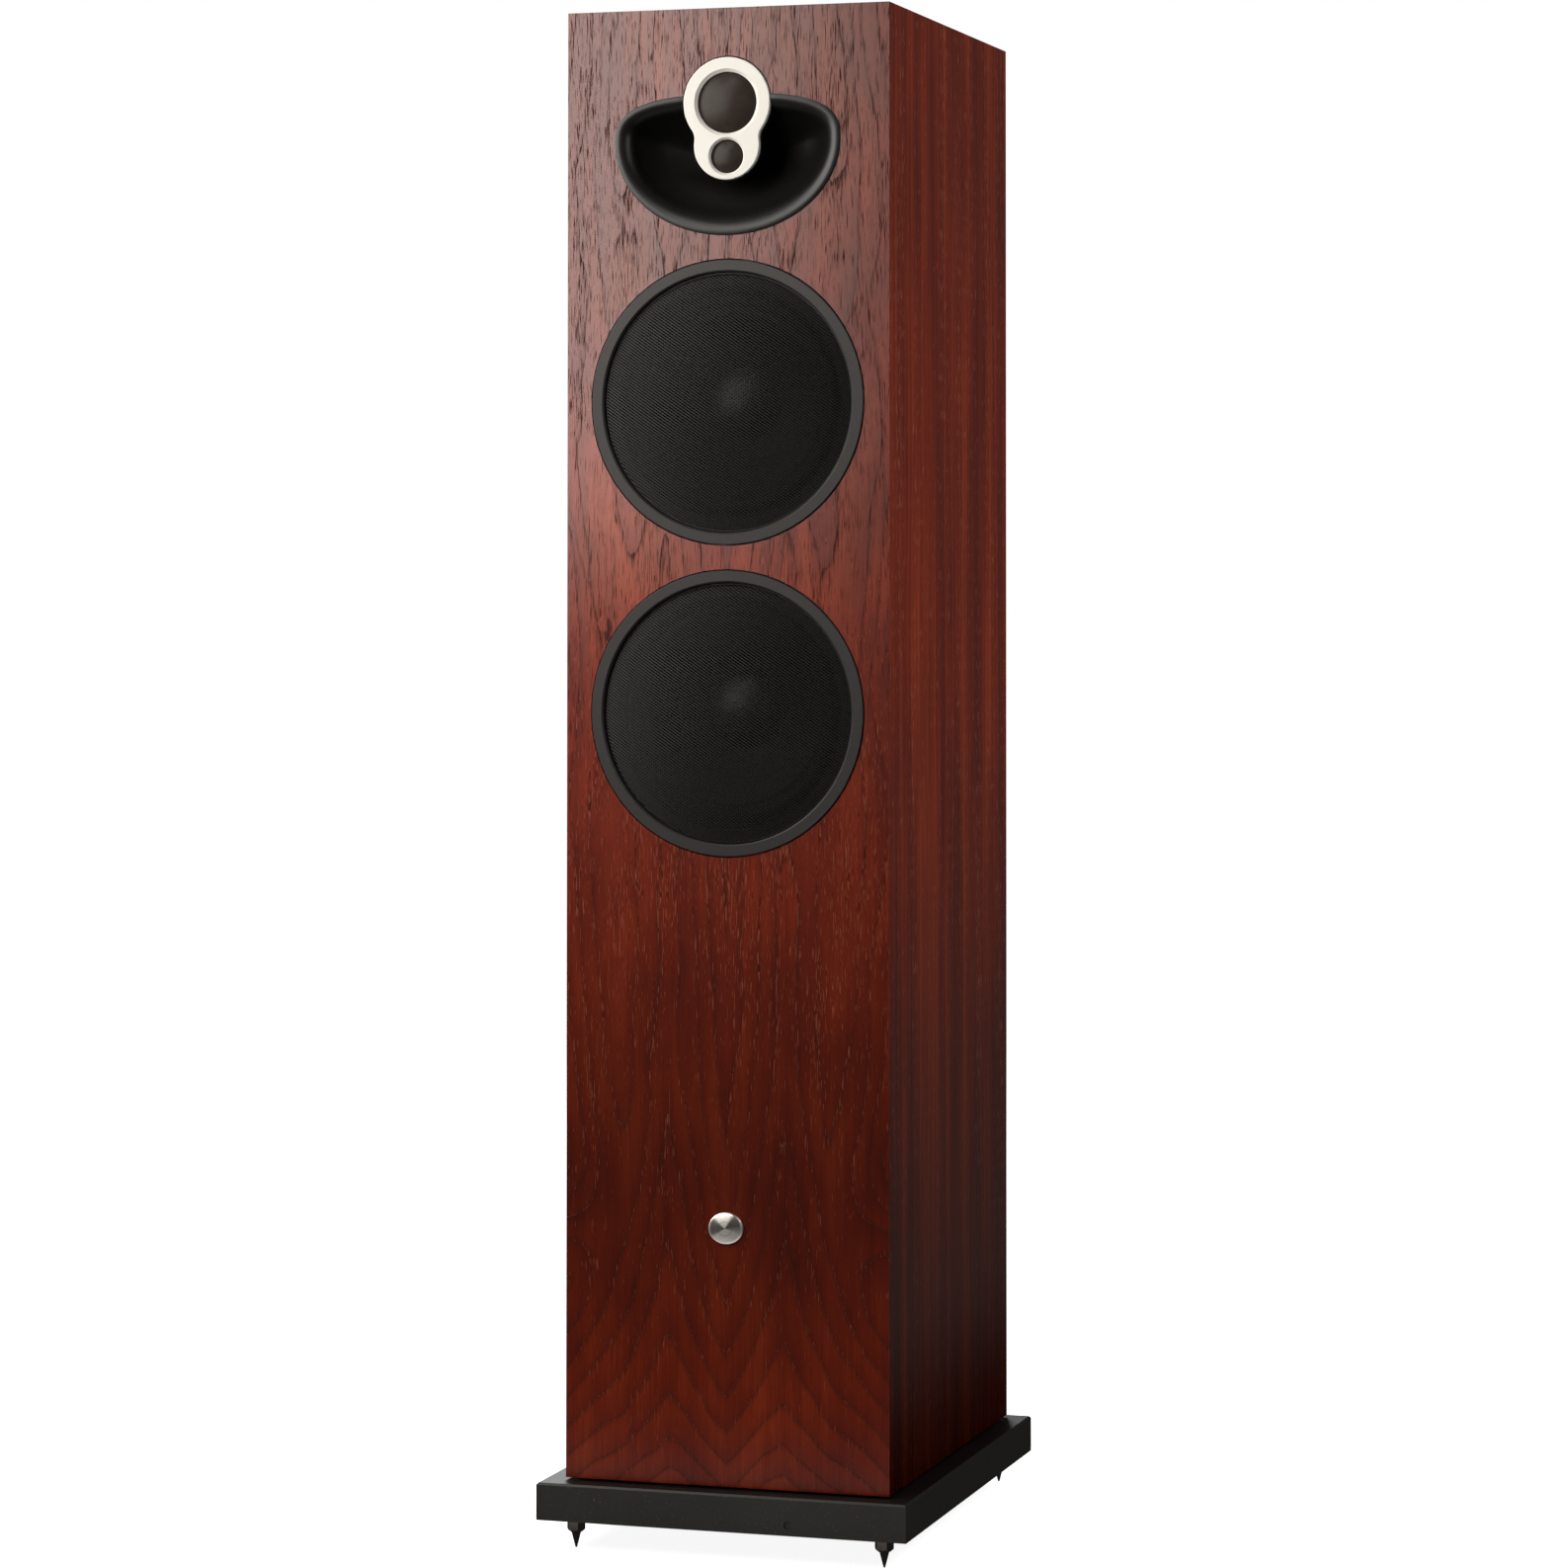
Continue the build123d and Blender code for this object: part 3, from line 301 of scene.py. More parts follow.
def satin(name, base, rough, grain=0.0006, depth=0.00002, tint=0.18, **more):
    """Painted, moulded or cast surface with a fine skin."""
    g = Graph(name)
    skin = g.noise(g.place, 1 / grain, 3.0, 0.6)
    haze = g.noise(g.place, 28.0, 3.0, 0.55)
    shade = g.math("MULTIPLY_ADD", g.math("SUBTRACT", haze, 0.5), tint, 1.0)
    brighter = [min(1.0, c * (1 + tint)) for c in base]
    darker = [c * (1 - tint) for c in base]
    g.set(color=g.mix(g.math("SUBTRACT", shade, 0.5), darker, brighter), **more)
    g.set(rough=g.math("MULTIPLY_ADD", g.math("SUBTRACT", skin, 0.5), 0.06, rough))
    g.bump(skin, 0.35, depth)
    return g.material


def speckled(name, base, rough):
    """Near-black lacquer with a fine orange peel and sparse dust, and painted shade that darkens the faces
    looking up.
    """
    g = Graph(name)
    peel = g.noise(g.place, 900.0, 2.0, 0.5)
    dust = g.noise(g.place, 1300.0, 0.0)
    cloud = g.noise(g.place, 9.0, 3.0, 0.6)
    spot = g.smooth(dust, 0.80, 0.84)
    colour = g.mix(g.smooth(cloud, 0.3, 0.7), [c * 0.8 for c in base], [c * 1.25 for c in base])
    colour = g.mix(g.math("MULTIPLY", spot, 0.5), colour, (0.12, 0.11, 0.10))
    # Painted shade: faces that look up are darkened
    facing_up = g.split(g.add("ShaderNodeTexCoord").outputs["Normal"])[2]
    colour = g.scaled(colour, g.smooth(facing_up, 0.5, 0.95, 1.0, 0.22))
    g.set(color=colour, rough=g.math("MULTIPLY_ADD", cloud, 0.10, rough - 0.05), specular=0.3)
    g.bump(peel, 0.25, 0.00004)
    return g.material


def metal(name, base, rough):
    """Bare or plated metal with fine drawn scratches."""
    g = Graph(name)
    stretch = g.add("ShaderNodeMapping")
    g.put(stretch, "Vector", g.place)
    stretch.inputs["Scale"].default_value = (1, 1, 0.02)
    fine = g.noise(stretch.outputs[0], 2600.0, 3.0, 0.65)
    wide = g.noise(g.place, 120.0, 3.0, 0.6)
    dark = [c * 0.72 for c in base]
    g.set(color=g.mix(wide, dark, base), metal=1.0)
    g.set(rough=g.math("MULTIPLY_ADD", g.math("SUBTRACT", fine, 0.5), 0.12, rough))
    g.bump(fine, 0.3, 0.000004)
    return g.material


def woven(name, base, thread, pitch, rough, specular=0.4):
    """Cloth or wire mesh too fine to model: two crossed sets of threads."""
    g = Graph(name)
    x, y, z = g.split(g.place)
    first = g.math("SINE", g.math("MULTIPLY", g.math("ADD", x, z), 2 * math.pi / pitch))
    second = g.math("SINE", g.math("MULTIPLY", g.math("SUBTRACT", x, z), 2 * math.pi / pitch))
    raised = g.math("MULTIPLY_ADD", g.math("MAXIMUM", first, second), 0.5, 0.5)
    uneven = g.noise(g.place, 220.0, 3.0, 0.6)
    lifted = g.math("MULTIPLY", raised, g.math("MULTIPLY_ADD", uneven, 0.8, 0.6))
    g.set(color=g.mix(lifted, base, thread), rough=rough, specular=specular)
    g.bump(raised, 0.35, pitch * 0.08)
    return g.material


def painted_shade_inside(name, base, mouth, throat):
    """Black moulding whose gloss fades from a satin mouth at y = mouth to a dull throat at y = throat: the
    fading gloss is painted shade deep inside the bowl.
    """
    g = Graph(name)
    y = g.split(g.place)[1]
    skin = g.noise(g.place, 1800.0, 3.0, 0.6)
    haze = g.noise(g.place, 28.0, 3.0, 0.55)
    g.set(color=g.mix(haze, [c * 0.8 for c in base], [c * 1.2 for c in base]), specular=0.0)
    g.set(rough=g.math("MULTIPLY_ADD", skin, 0.1, 0.5), coat_rough=0.40)
    # Painted shade: less gloss deeper in the bowl
    g.set(coat=g.smooth(y, mouth, throat, 0.72, 0.25))
    g.bump(skin, 0.35, 0.000006)
    return g.material


def turned_metal(name, base, rough, centre):
    """Spun metal: rings of brushing about centre, with the bright and dark fan they show under a lamp drawn in
    as painted highlight and shade.
    """
    g = Graph(name)
    x, y, z = g.split(g.place)
    dx = g.math("SUBTRACT", x, centre[0])
    dz = g.math("SUBTRACT", z, centre[1])
    radius = g.math("SQRT", g.math("MULTIPLY_ADD", dx, dx, g.math("MULTIPLY", dz, dz)))
    rings = g.noise(g.vector(g.math("MULTIPLY", radius, 9000.0)), 1.0, 3.0, 0.7)
    face = g.smooth(radius, 0.0093, 0.0097, 1.0, 0.0)
    turn = g.math("ARCTAN2", dz, dx)
    fan = g.math("MULTIPLY", g.math("ADD", turn, math.pi), 0.5 / math.pi)
    # Painted highlight and shade: the fan of bright and dark sectors round the centre
    sheen = g.ramp(
        fan,
        (0.0, 0.22), (0.06, 0.32), (0.10, 1.0), (0.30, 1.0), (0.44, 0.95), (0.49, 0.50), (0.54, 0.20),
        (0.64, 0.16), (0.66, 0.45), (0.69, 1.0), (0.87, 1.0), (0.90, 0.35), (0.93, 0.22), (1.0, 0.22),
    )
    groove = g.smooth(g.math("ABSOLUTE", g.math("SUBTRACT", radius, 0.0042)), 0.0, 0.0003, 0.55, 1.0)
    sheen = g.math("MULTIPLY", sheen, groove)
    sheen = g.math("MULTIPLY_ADD", g.math("SUBTRACT", sheen, 1.0), face, 1.0)
    tone = g.mix(rings, [c * 0.85 for c in base], base)
    g.set(color=g.scaled(tone, sheen), metal=1.0)
    g.set(rough=g.math("MULTIPLY_ADD", rings, 0.10, rough))
    g.bump(rings, 0.05, 0.000004)
    return g.material


M = {
    "veneer_front": veneer("veneer_front", 0, 2, 11.3, True),
    "veneer_back": veneer("veneer_back", 0, 2, 47.0, True),
    "veneer_right": veneer("veneer_right", 1, 2, 23.9, False),
    "veneer_left": veneer("veneer_left", 1, 2, 31.4, False),
    "veneer_top": veneer("veneer_top", 0, 1, 58.2, False),
    "plywood": satin("plywood", (0.50, 0.36, 0.20), 0.75, 0.002),
    "wadding": satin("wadding", (0.70, 0.70, 0.67), 0.95, 0.0012, 0.0006),
    "ring": satin("ring", (0.0180, 0.0160, 0.0156), 0.50, 0.0005, 0.000012, specular=0.30),
    "grille": satin("grille", (0.0034, 0.0028, 0.0028), 0.38, 0.0004, 0.00001, specular=0.25),
    "basket": satin("basket", (0.006, 0.006, 0.0064), 0.6, 0.0008, 0.00006, specular=0.15),
    "rubber": satin("rubber", (0.0022, 0.0021, 0.0021), 0.5, 0.0006, 0.00002, specular=0.08),
    "paper": satin("paper", (0.0022, 0.0020, 0.0020), 0.45, 0.0008, 0.00003, specular=0.12),
    "dust_cap": satin("dust_cap", (0.0020, 0.0019, 0.0019), 0.36, 0.0010, 0.00001, specular=0.40),
    "copper": metal("copper", (0.85, 0.42, 0.24), 0.3),
    "spider": woven("spider", (0.42, 0.30, 0.10), (0.62, 0.47, 0.20), 0.0009, 0.85),
    "motor_steel": metal("motor_steel", (0.58, 0.58, 0.56), 0.35),
    "ferrite": satin("ferrite", (0.05, 0.05, 0.053), 0.6, 0.001, 0.00004),
    "bowl": painted_shade_inside("bowl", (0.0036, 0.0033, 0.0032), -0.1285, -0.1170),
    "pod": satin("pod", (0.005, 0.005, 0.005), 0.45, 0.0005, 0.00001),
    "fascia": satin("fascia", (0.580, 0.564, 0.530), 0.45, 0.0006, 0.000012, tint=0.05),
    "mesh": woven("mesh", (0.006, 0.0042, 0.0036), (0.034, 0.026, 0.022), 0.00085, 0.23, specular=0.10),
    "soft_dome": satin("soft_dome", (0.02, 0.018, 0.018), 0.45, 0.0005, 0.00002),
    "screw": metal("screw", (0.10, 0.10, 0.10), 0.42),
    "badge": turned_metal("badge", (1.0, 0.96, 0.90), 0.36, (0.0, 0.0)),
    "port": satin("port", (0.020, 0.020, 0.020), 0.5, 0.0006, 0.00003),
    "cup": satin("cup", (0.022, 0.022, 0.023), 0.45, 0.0006, 0.00003),
    "gold": metal("gold", (0.92, 0.66, 0.30), 0.22),
    "cap_red": satin("cap_red", (0.42, 0.012, 0.010), 0.25, 0.0008, 0.00001, coat=0.4),
    "cap_black": satin("cap_black", (0.012, 0.012, 0.012), 0.25, 0.0008, 0.00001, coat=0.4),
    "board": satin("board", (0.02, 0.10, 0.04), 0.4, 0.001),
    "components": satin("components", (0.35, 0.16, 0.06), 0.45, 0.001),
    "lead": satin("lead", (0.03, 0.03, 0.03), 0.5, 0.0008),
    "base": speckled("base", (0.0150, 0.0135, 0.0120), 0.42),
    "dark_steel": metal("dark_steel", (0.20, 0.185, 0.17), 0.34),
}

CAD_MATERIALS = {
    "front_baffle": "veneer_front",
    "rear_panel": "veneer_back",
    "left_side_panel": "veneer_left",
    "right_side_panel": "veneer_right",
    "top_panel": "veneer_top",
    "bottom_panel": "veneer_top",
    "window_braces": "plywood",
    "damping_pads": "wadding",
    "woofer_gaskets": "rubber",
    "woofer_top_plates": "motor_steel",
    "woofer_magnets": "ferrite",
    "woofer_yokes": "motor_steel",
    "waveguide_bowl": "bowl",
    "array_pod": "pod",
    "fascia_plate": "fascia",
    "tweeter_mesh": "mesh",
    "supertweeter_mesh": "mesh",
    "tweeter_dome": "soft_dome",
    "supertweeter_dome": "soft_dome",
    "tweeter_magnet": "ferrite",
    "supertweeter_magnet": "ferrite",
    "tweeter_yoke": "motor_steel",
    "supertweeter_yoke": "motor_steel",
    "array_screws": "screw",
    "panel_screws": "screw",
    "badge": "badge",
    "port_tube": "port",
    "terminal_cup": "cup",
    "terminal_posts": "gold",
    "binding_cap_treble_red": "cap_red",
    "binding_cap_bass_red": "cap_red",
    "binding_cap_treble_black": "cap_black",
    "binding_cap_bass_black": "cap_black",
    "crossover_board": "board",
    "crossover_components": "components",
    "internal_wiring": "lead",
    "base_plate": "base",
    "base_bolts": "dark_steel",
    "base_spacers": "dark_steel",
    "spike_nuts": "dark_steel",
    "spike_front_left": "dark_steel",
    "spike_front_right": "dark_steel",
    "spike_rear_left": "dark_steel",
    "spike_rear_right": "dark_steel",
}
WOOFER_MATERIALS = {
    "trim_ring": "ring",
    "grille": "grille",
    "basket": "basket",
    "surround": "rubber",
    "cone": "paper",
    "dust_cap": "dust_cap",
    "voice_coil": "copper",
    "spider": "spider",
}
for place in ("upper", "lower"):
    for part, material in WOOFER_MATERIALS.items():
        CAD_MATERIALS[f"{place}_woofer_{part}"] = material

for node, material in CAD_MATERIALS.items():
    NODES[node].data.materials.clear()
    NODES[node].data.materials.append(M[material])


# ---- Mesh helpers ----
def new_mesh(name, points, faces, material, smooth=True):
    mesh = bpy.data.meshes.new(name)
    mesh.from_pydata([tuple(p) for p in points], [], [tuple(f) for f in faces])
    mesh.update()
    mesh.polygons.foreach_set("use_smooth", [smooth] * len(mesh.polygons))
    if smooth:
        mesh.set_sharp_from_angle(angle=math.radians(38))
    mesh.materials.append(M[material])
    made = bpy.data.objects.new(name, mesh)
    bpy.context.scene.collection.objects.link(made)
    return made


def centre_of(node):
    low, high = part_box(node)
    return (low + high) / 2


# ---- Grilles: two crossing families of strands on a shallow dome ----
STRAND_ANGLE = math.radians(33.6)
STRAND_PITCH = 1.53 * MM
STRAND_WIDTH = (0.66 * MM, 0.50 * MM)
STRAND_THICKNESS = 0.34 * MM
GRILLE_RADIUS = 76.0 * MM
GRILLE_SAG = 3.3 * MM
SEGMENT = 6.5 * MM


def strand_family(angle, lean, width, behind):
    """Flat strands across the disc, each leaning a little about its own length."""
    along = np.array([math.cos(angle), math.sin(angle)])
    across = np.array([-math.sin(angle), math.cos(angle)])
    ball = (GRILLE_RADIUS**2 + GRILLE_SAG**2) / (2 * GRILLE_SAG)
    half_w, half_t = width / 2, STRAND_THICKNESS / 2
    corners = [(-half_w, -half_t), (half_w, -half_t), (half_w, half_t), (-half_w, half_t)]
    section = [
        (w * math.cos(lean) - t * math.sin(lean), w * math.sin(lean) + t * math.cos(lean))
        for w, t in corners
    ]
    points, faces = [], []
    count = int(GRILLE_RADIUS / STRAND_PITCH)
    for i in range(-count, count + 1):
        offset = i * STRAND_PITCH
        reach = math.sqrt(max(GRILLE_RADIUS**2 - offset**2, 0))
        if reach < 2 * MM:
            continue
        steps = max(2, int(math.ceil(2 * reach / SEGMENT)))
        first = len(points)
        for j in range(steps + 1):
            s = -reach + 2 * reach * j / steps
            for w, t in section:
                x, z = along * s + across * (offset + w)
                rise = math.sqrt(ball**2 - x * x - z * z) - (ball - GRILLE_SAG) - behind
                points.append((x, -(rise + t), z))
        for j in range(steps):
            for k in range(4):
                a = first + 4 * j + k
                b = first + 4 * j + (k + 1) % 4
                faces.append((a, b, b + 4, a + 4))
        faces.append((first + 3, first + 2, first + 1, first))
        last = first + 4 * steps
        faces.append((last, last + 1, last + 2, last + 3))
    return points, faces


def hoop(radius, y_front, y_back, wall):
    """A rolled rim that holds the strands' ends."""
    profile = [
        (radius - wall, y_back),
        (radius, y_back),
        (radius, y_front + 0.4 * MM),
        (radius - 0.3 * MM, y_front),
        (radius - wall + 0.3 * MM, y_front),
        (radius - wall, y_front + 0.4 * MM),
    ]
    return lathe(profile, 128)


def lathe(profile, count):
    """Turns (radius, y) points about the Y axis."""
    points, faces = [], []
    n = len(profile)
    for i in range(count):
        turn = 2 * math.pi * i / count
        for radius, y in profile:
            points.append((radius * math.cos(turn), y, radius * math.sin(turn)))
    for i in range(count):
        for j in range(n):
            a, b = i * n + j, i * n + (j + 1) % n
            c, d = ((i + 1) % count) * n + (j + 1) % n, ((i + 1) % count) * n + j
            faces.append((a, b, c, d))
    return points, faces


def joined(*parts):
    points, faces = [], []
    for some, polygons in parts:
        first = len(points)
        points += some
        faces += [[i + first for i in f] for f in polygons]
    return points, faces


def build_grille(place):
    node = f"{place}_woofer_grille"
    low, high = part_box(node)
    middle = (low + high) / 2
    rim = high.y - 1.3 * MM
    strands = joined(
        strand_family(-STRAND_ANGLE, math.radians(-16), STRAND_WIDTH[0], 0.0),
        strand_family(STRAND_ANGLE, math.radians(14), STRAND_WIDTH[1], 0.30 * MM),
    )
    points = [(x + middle.x, y + rim, z + middle.z) for x, y, z in strands[0]]
    grille = new_mesh(f"{place}_grille_mesh", points, strands[1], "grille", smooth=False)
    ring = hoop(high.z - middle.z, rim - 0.2 * MM, high.y, 1.1 * MM)
    points = [(x + middle.x, y, z + middle.z) for x, y, z in ring[0]]
    edge = new_mesh(f"{place}_grille_hoop", points, ring[1], "grille", smooth=False)
    for piece in (grille, edge):
        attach(piece, f"{place}_grille")
    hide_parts(node)


for place in ("upper", "lower"):
    build_grille(place)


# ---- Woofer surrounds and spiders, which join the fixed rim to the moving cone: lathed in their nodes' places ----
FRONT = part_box("front_baffle")[0].y


def place_turned(name, node, profile, material, body, count=128):
    """A lathed piece in a node's place. The profile is (radius, height ahead of the baffle) in mm."""
    middle = centre_of(node)
    points, faces = lathe([(r * MM, FRONT - h * MM) for r, h in profile], count)
    points = [(x + middle.x, y, z + middle.z) for x, y, z in points]
    piece = new_mesh(name, points, faces, material)
    if body:
        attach(piece, body)
    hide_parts(node)
    return piece, middle


def roll_profile(inner, outer, low, height, thickness, lip=2.4, steps=14):
    """A half roll with flat lips."""
    upper, lower = [], []
    for i in range(steps + 1):
        turn = math.pi * i / steps
        middle, half = (inner + outer) / 2, (outer - inner) / 2
        upper.append((middle - half * math.cos(turn), low + thickness + height * math.sin(turn)))
        thin = half - thickness
        lower.append((middle + thin * math.cos(turn), low + (height - 0.1) * math.sin(turn)))
    top = [(inner - lip, low + thickness), *upper, (outer + lip, low + thickness)]
    return [(inner - lip, low), *top, (outer + lip, low), *lower]


SPIDER_INNER = 13.05


def spider_profile(inner, outer, level, waves=4, steps=6):
    """Rolled corrugations with a constant thickness."""
    count = waves * steps
    upper = []
    for i in range(count + 1):
        part = i / count
        swell = 0.4 - 0.7 * math.cos(2 * math.pi * waves * part)
        upper.append((inner + (outer - inner) * part, level + swell))
    return upper + [(r, h - 0.55) for r, h in reversed(upper)]


for place in ("upper", "lower"):
    node = f"{place}_woofer_surround"
    low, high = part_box(node)
    rest = (FRONT - high.y) / MM
    roll = roll_profile(56.5, 66.3, rest, 3.8, 0.7)
    piece, middle = place_turned(f"{place}_surround_roll", node, roll, "rubber", None)
    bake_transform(piece)

    node = f"{place}_woofer_spider"
    low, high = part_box(node)
    outer = (high.z - low.z) / 2 / MM
    level = (FRONT - (low.y + high.y) / 2) / MM - 0.1
    waves = spider_profile(SPIDER_INNER, outer, level)
    piece, middle = place_turned(f"{place}_spider_cloth", node, waves, "spider", None)
    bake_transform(piece)


# ---- Waveguide bowl, guard domes and badge ----
BOWL_LEVEL = 833.0
BOWL_HALF_WIDTH = 69.0
BOWL_DROP = 55.0
BOWL_RISE = 27.0
BOWL_LOWER_LIP = 1.5
BOWL_PROFILE = (
    (0.30, -2.60),
    (0.30, -0.50),
    (0.75, -0.36),
    (2.00, -0.72),
    (3.40, -1.50),
    (4.80, -2.80),
    (6.00, -4.60),
    (7.00, -6.60),
    (8.10, -8.80),
    (9.70, -11.2),
    (11.9, -13.6),
    (14.8, -16.4),
    (18.4, -19.4),
)
BOWL_THROAT = ((0.88, -21.6), (0.76, -23.8), (0.64, -26.0), (0.52, -28.0), (0.40, -29.6), (0.22, -30.8))

BOWL_BEHIND_FASCIA = -29.0
BOWL_BACK = -31.15
FASCIA_DISCS = ((855.75, 24.2), (830.3, 17.6))


def bowl_outline(inset, count=168):
    """Half an ellipse below and a squarer curve above, as (x, z) in mm."""
    points = []
    for i in range(count):
        turn = 2 * math.pi * i / count
        c, s = math.cos(turn), math.sin(turn)
        power = 2 / 2.85 if s > 0 else 1.0
        rise = BOWL_RISE - inset if s > 0 else BOWL_DROP - BOWL_LOWER_LIP * inset
        x = math.copysign((BOWL_HALF_WIDTH - inset) * abs(c) ** power, c)
        points.append((x, BOWL_LEVEL + math.copysign(rise * abs(s) ** power, s)))
    return points


def under_fascia(x, z):
    """Whether a point of the dish is behind the fascia, where the pod fills it."""
    return any(math.hypot(x, z - level) < radius for level, radius in FASCIA_DISCS)


def build_bowl():
    rows = [[(x, h, z) for x, z in bowl_outline(inset)] for inset, h in BOWL_PROFILE]
    last = bowl_outline(BOWL_PROFILE[-1][0])
    rows = [[(x, BOWL_BEHIND_FASCIA if under_fascia(x, z) else h, z) for x, h, z in row] for row in rows]
    middle = (0.0, BOWL_LEVEL - 12.0)
    for scale, h in BOWL_THROAT:
        spread = [(middle[0] + (x - middle[0]) * scale, middle[1] + (z - middle[1]) * scale) for x, z in last]
        rows.append([(x, h, z) for x, z in spread])
    count = len(rows[0])
    points = [(x * MM, FRONT - h * MM, z * MM) for row in rows for x, h, z in row]
    faces = []
    for i in range(len(rows) - 1):
        for j in range(count):
            k = (j + 1) % count
            faces.append((i * count + j, (i + 1) * count + j, (i + 1) * count + k, i * count + k))
    points.append((0.0, FRONT - BOWL_BACK * MM, middle[1] * MM))
    start = (len(rows) - 1) * count
    for j in range(count):
        faces.append((start + j, len(points) - 1, start + (j + 1) % count))
    bowl = new_mesh("waveguide_dish", points, faces, "bowl")
    shell = bowl.modifiers.new("wall", "SOLIDIFY")
    shell.thickness = 1.6 * MM
    shell.offset = -1.0
    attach(bowl, ROOT)
    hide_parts("waveguide_bowl")


def build_guard(node):
    """Fine mesh dome with a lip that sits behind the fascia's hole."""
    low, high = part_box(node)
    radius = (high.z - low.z) / 2 / MM
    front, back = (FRONT - low.y) / MM, (FRONT - high.y) / MM
    sag = front - back - 0.35
    ball = (radius**2 + sag**2) / (2 * sag)
    outer = []
    steps = 22
    for i in range(steps + 1):
        r = radius * (1 - (i / steps) ** 1.15)
        outer.append((max(r, 0.02), front - ball + math.sqrt(ball**2 - r * r)))
    inner = [(max(r - 0.3, 0.01), h - 0.38) for r, h in reversed(outer)]
    profile = [(radius - 0.4, back), (radius, back), *outer, *inner]
    place_turned(node + "_dome", node, profile, "mesh", ROOT, 96)


def build_badge():
    """Low oval dome with a rolled edge, spun and brushed."""
    low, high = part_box("badge")
    high.y = FRONT
    middle = (low + high) / 2
    half_w, half_h = (high.x - low.x) / 2, (high.z - low.z) / 2
    deep = high.y - low.y
    rows = [(0.985, 0.0), (1.0, 0.06), (1.0, 0.30), (0.992, 0.42), (0.965, 0.53), (0.92, 0.61)]
    for i in range(1, 12):
        part = i / 12
        rows.append((0.92 * (1 - part), 0.61 + 0.39 * (1 - (1 - part) ** 2)))
    count = 96
    points, faces = [], []
    for scale, height in rows:
        for i in range(count):
            turn = 2 * math.pi * i / count
            x, z = half_w * scale * math.cos(turn), half_h * scale * math.sin(turn)
            points.append((x, deep / 2 - deep * height, z))
    for i in range(len(rows) - 1):
        for j in range(count):
            k = (j + 1) % count
            faces.append((i * count + j, (i + 1) * count + j, (i + 1) * count + k, i * count + k))
    points.append((0.0, -deep / 2, 0.0))
    start = (len(rows) - 1) * count
    for j in range(count):
        faces.append((start + j, len(points) - 1, start + (j + 1) % count))
    badge = new_mesh("badge_dome", points, faces, "badge")
    badge.location = middle
    bpy.context.view_layer.update()
    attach(badge, ROOT)
    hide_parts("badge")


build_bowl()
build_guard("tweeter_mesh")
build_guard("supertweeter_mesh")
build_badge()


# ---- Stage, light and camera ----
def softbox(name, place, aim, width, height, radiance, colour=(1, 1, 1)):
    """A rectangular light at place that faces aim and isn't seen by the camera."""
    data = bpy.data.lights.new(name, "AREA")
    data.shape = "RECTANGLE"
    data.size, data.size_y = width, height
    data.energy = radiance * math.pi * width * height
    data.color = colour
    light = bpy.data.objects.new(name, data)
    light.location = place
    direction = Vector(place) - Vector(aim)
    light.rotation_euler = direction.to_track_quat("Z", "Y").to_euler()
    light.visible_camera = False
    bpy.context.scene.collection.objects.link(light)
    return light


def build_stage():
    """A plain white floor that glows enough to stay pale; its glow dips near the object, painted shade that
    deepens the cast shadow under the base.
    """
    g = Graph("floor")
    dapple = g.noise(g.place, 14.0, 2.0)
    g.set(color=g.mix(dapple, (0.80, 0.80, 0.80), (0.82, 0.82, 0.82)), rough=0.9, specular=0.1)
    x, y, z = g.split(g.place)
    away = g.math("SQRT", g.math("MULTIPLY_ADD", x, x, g.math("MULTIPLY", y, y)))
    # Painted shade: the glow is lower near the object
    g.set(glow=(1.0, 1.0, 1.0), glow_strength=g.smooth(away, 0.2, 0.9, 0.92, 1.0))
    M["floor"] = g.material
    points = [(-9, -7, -0.0002), (9, -7, -0.0002), (9, 40, -0.0002), (-9, 40, -0.0002)]
    floor = new_mesh("studio_floor", points, [(0, 1, 2, 3)], "floor")
    floor.visible_glossy = False
    floor.visible_diffuse = False


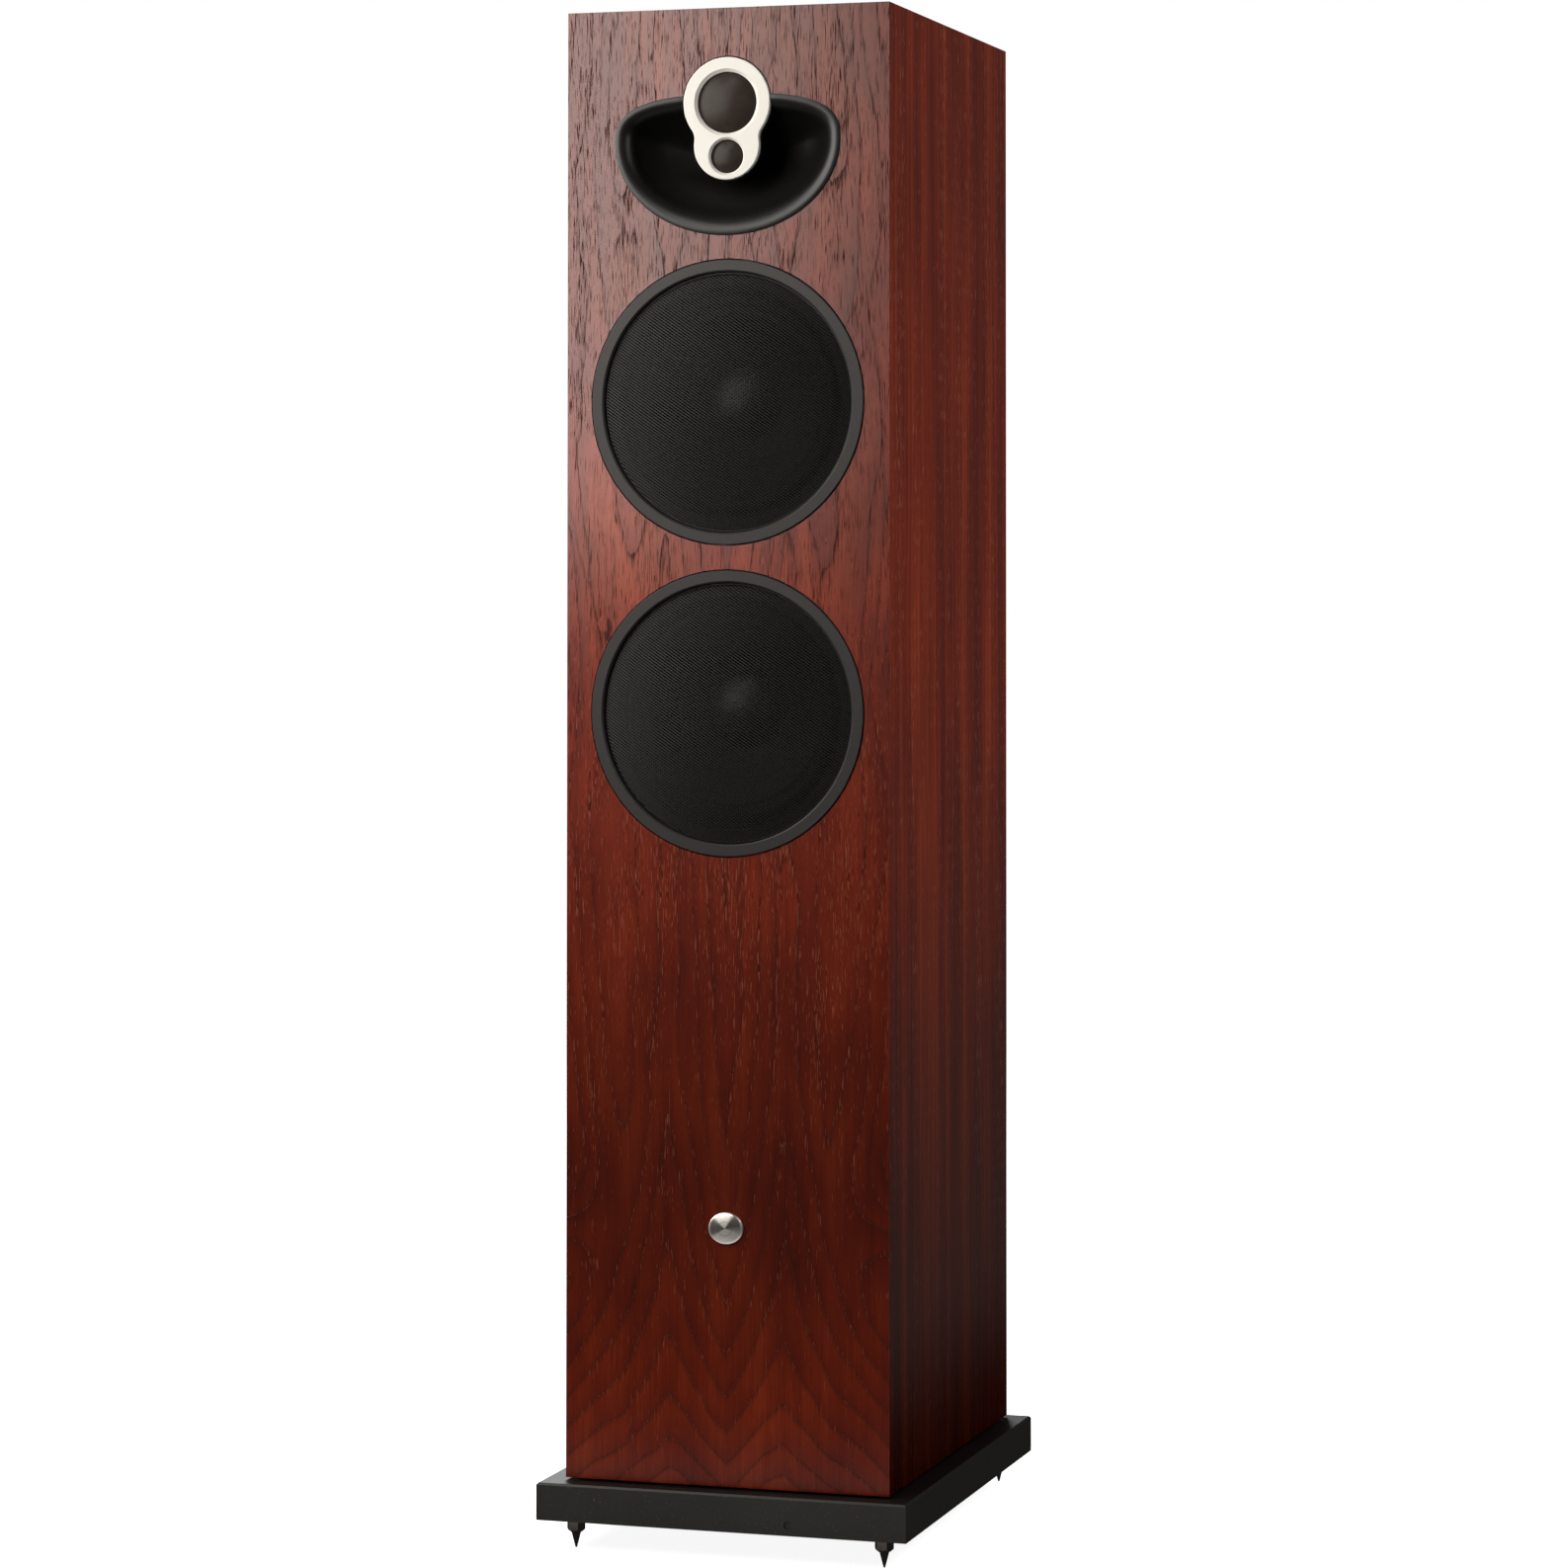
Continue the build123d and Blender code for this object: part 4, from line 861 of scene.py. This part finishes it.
def build_world():
    """White behind the object, and a dim grey room around it."""
    world = bpy.data.worlds.new("studio")
    world.use_nodes = True
    bpy.context.scene.world = world
    tree = world.node_tree
    white = tree.nodes["Background"]
    room = tree.nodes.new("ShaderNodeBackground")
    path = tree.nodes.new("ShaderNodeLightPath")
    choice = tree.nodes.new("ShaderNodeMixShader")
    white.inputs["Color"].default_value = (1, 1, 1, 1)
    white.inputs["Strength"].default_value = 1.0
    room.inputs["Color"].default_value = (*WARM, 1)
    room.inputs["Strength"].default_value = ROOM_LEVEL
    tree.links.new(path.outputs["Is Camera Ray"], choice.inputs[0])
    tree.links.new(room.outputs[0], choice.inputs[1])
    tree.links.new(white.outputs[0], choice.inputs[2])
    tree.links.new(choice.outputs[0], tree.nodes["World Output"].inputs["Surface"])


WARM = (1.0, 0.965, 0.91)
ROOM_LEVEL = 0.050
CAMERA_PLACE = (0.8359, -2.6362, 0.5794)
CAMERA_PITCH = 1.415
CAMERA_YAW = 16.70
CAMERA_LENS = 102.83
CAMERA_SHIFT = (-0.0505, -0.2069)


def build_camera():
    data = bpy.data.cameras.new("camera")
    data.sensor_width = 36.0
    data.lens = CAMERA_LENS
    data.shift_x, data.shift_y = CAMERA_SHIFT
    data.clip_end = 50.0
    camera = bpy.data.objects.new("camera", data)
    camera.location = CAMERA_PLACE
    camera.rotation_euler = (math.radians(90 + CAMERA_PITCH), 0, math.radians(CAMERA_YAW))
    bpy.context.scene.collection.objects.link(camera)
    bpy.context.scene.camera = camera


build_stage()
build_world()
build_camera()
softbox("key", (-0.641, -0.661, 0.998), (0, -0.13, 0.75), 1.217, 0.827, 6.5, WARM)
softbox("right_box", (0.86, -0.10, 0.98), (0.1, 0, 0.80), 0.45, 0.6, 6.2, WARM)
softbox("back_left", (-0.9, 1.7, 1.5), (0, 0.1, 0.5), 1.0, 1.0, 11.0)
softbox("back_right", (1.7, 0.9, 1.5), (0.1, 0.1, 0.4), 0.6, 0.6, 3.0)
softbox("front_high", (-0.286, -1.548, 2.087), (0, -0.13, 0.85), 0.16, 0.16, 64.0, WARM)
softbox("front_right", (0.41, -1.66, 1.095), (0, -0.13, 0.80), 0.10, 0.10, 30.0, WARM)
softbox("floor_card", (-0.04, -0.27, 0.004), (-0.04, -0.25, 1.0), 0.6, 0.18, 0.8, WARM)
bpy.context.scene.view_settings.view_transform = "Standard"
bpy.context.scene.view_settings.look = "None"
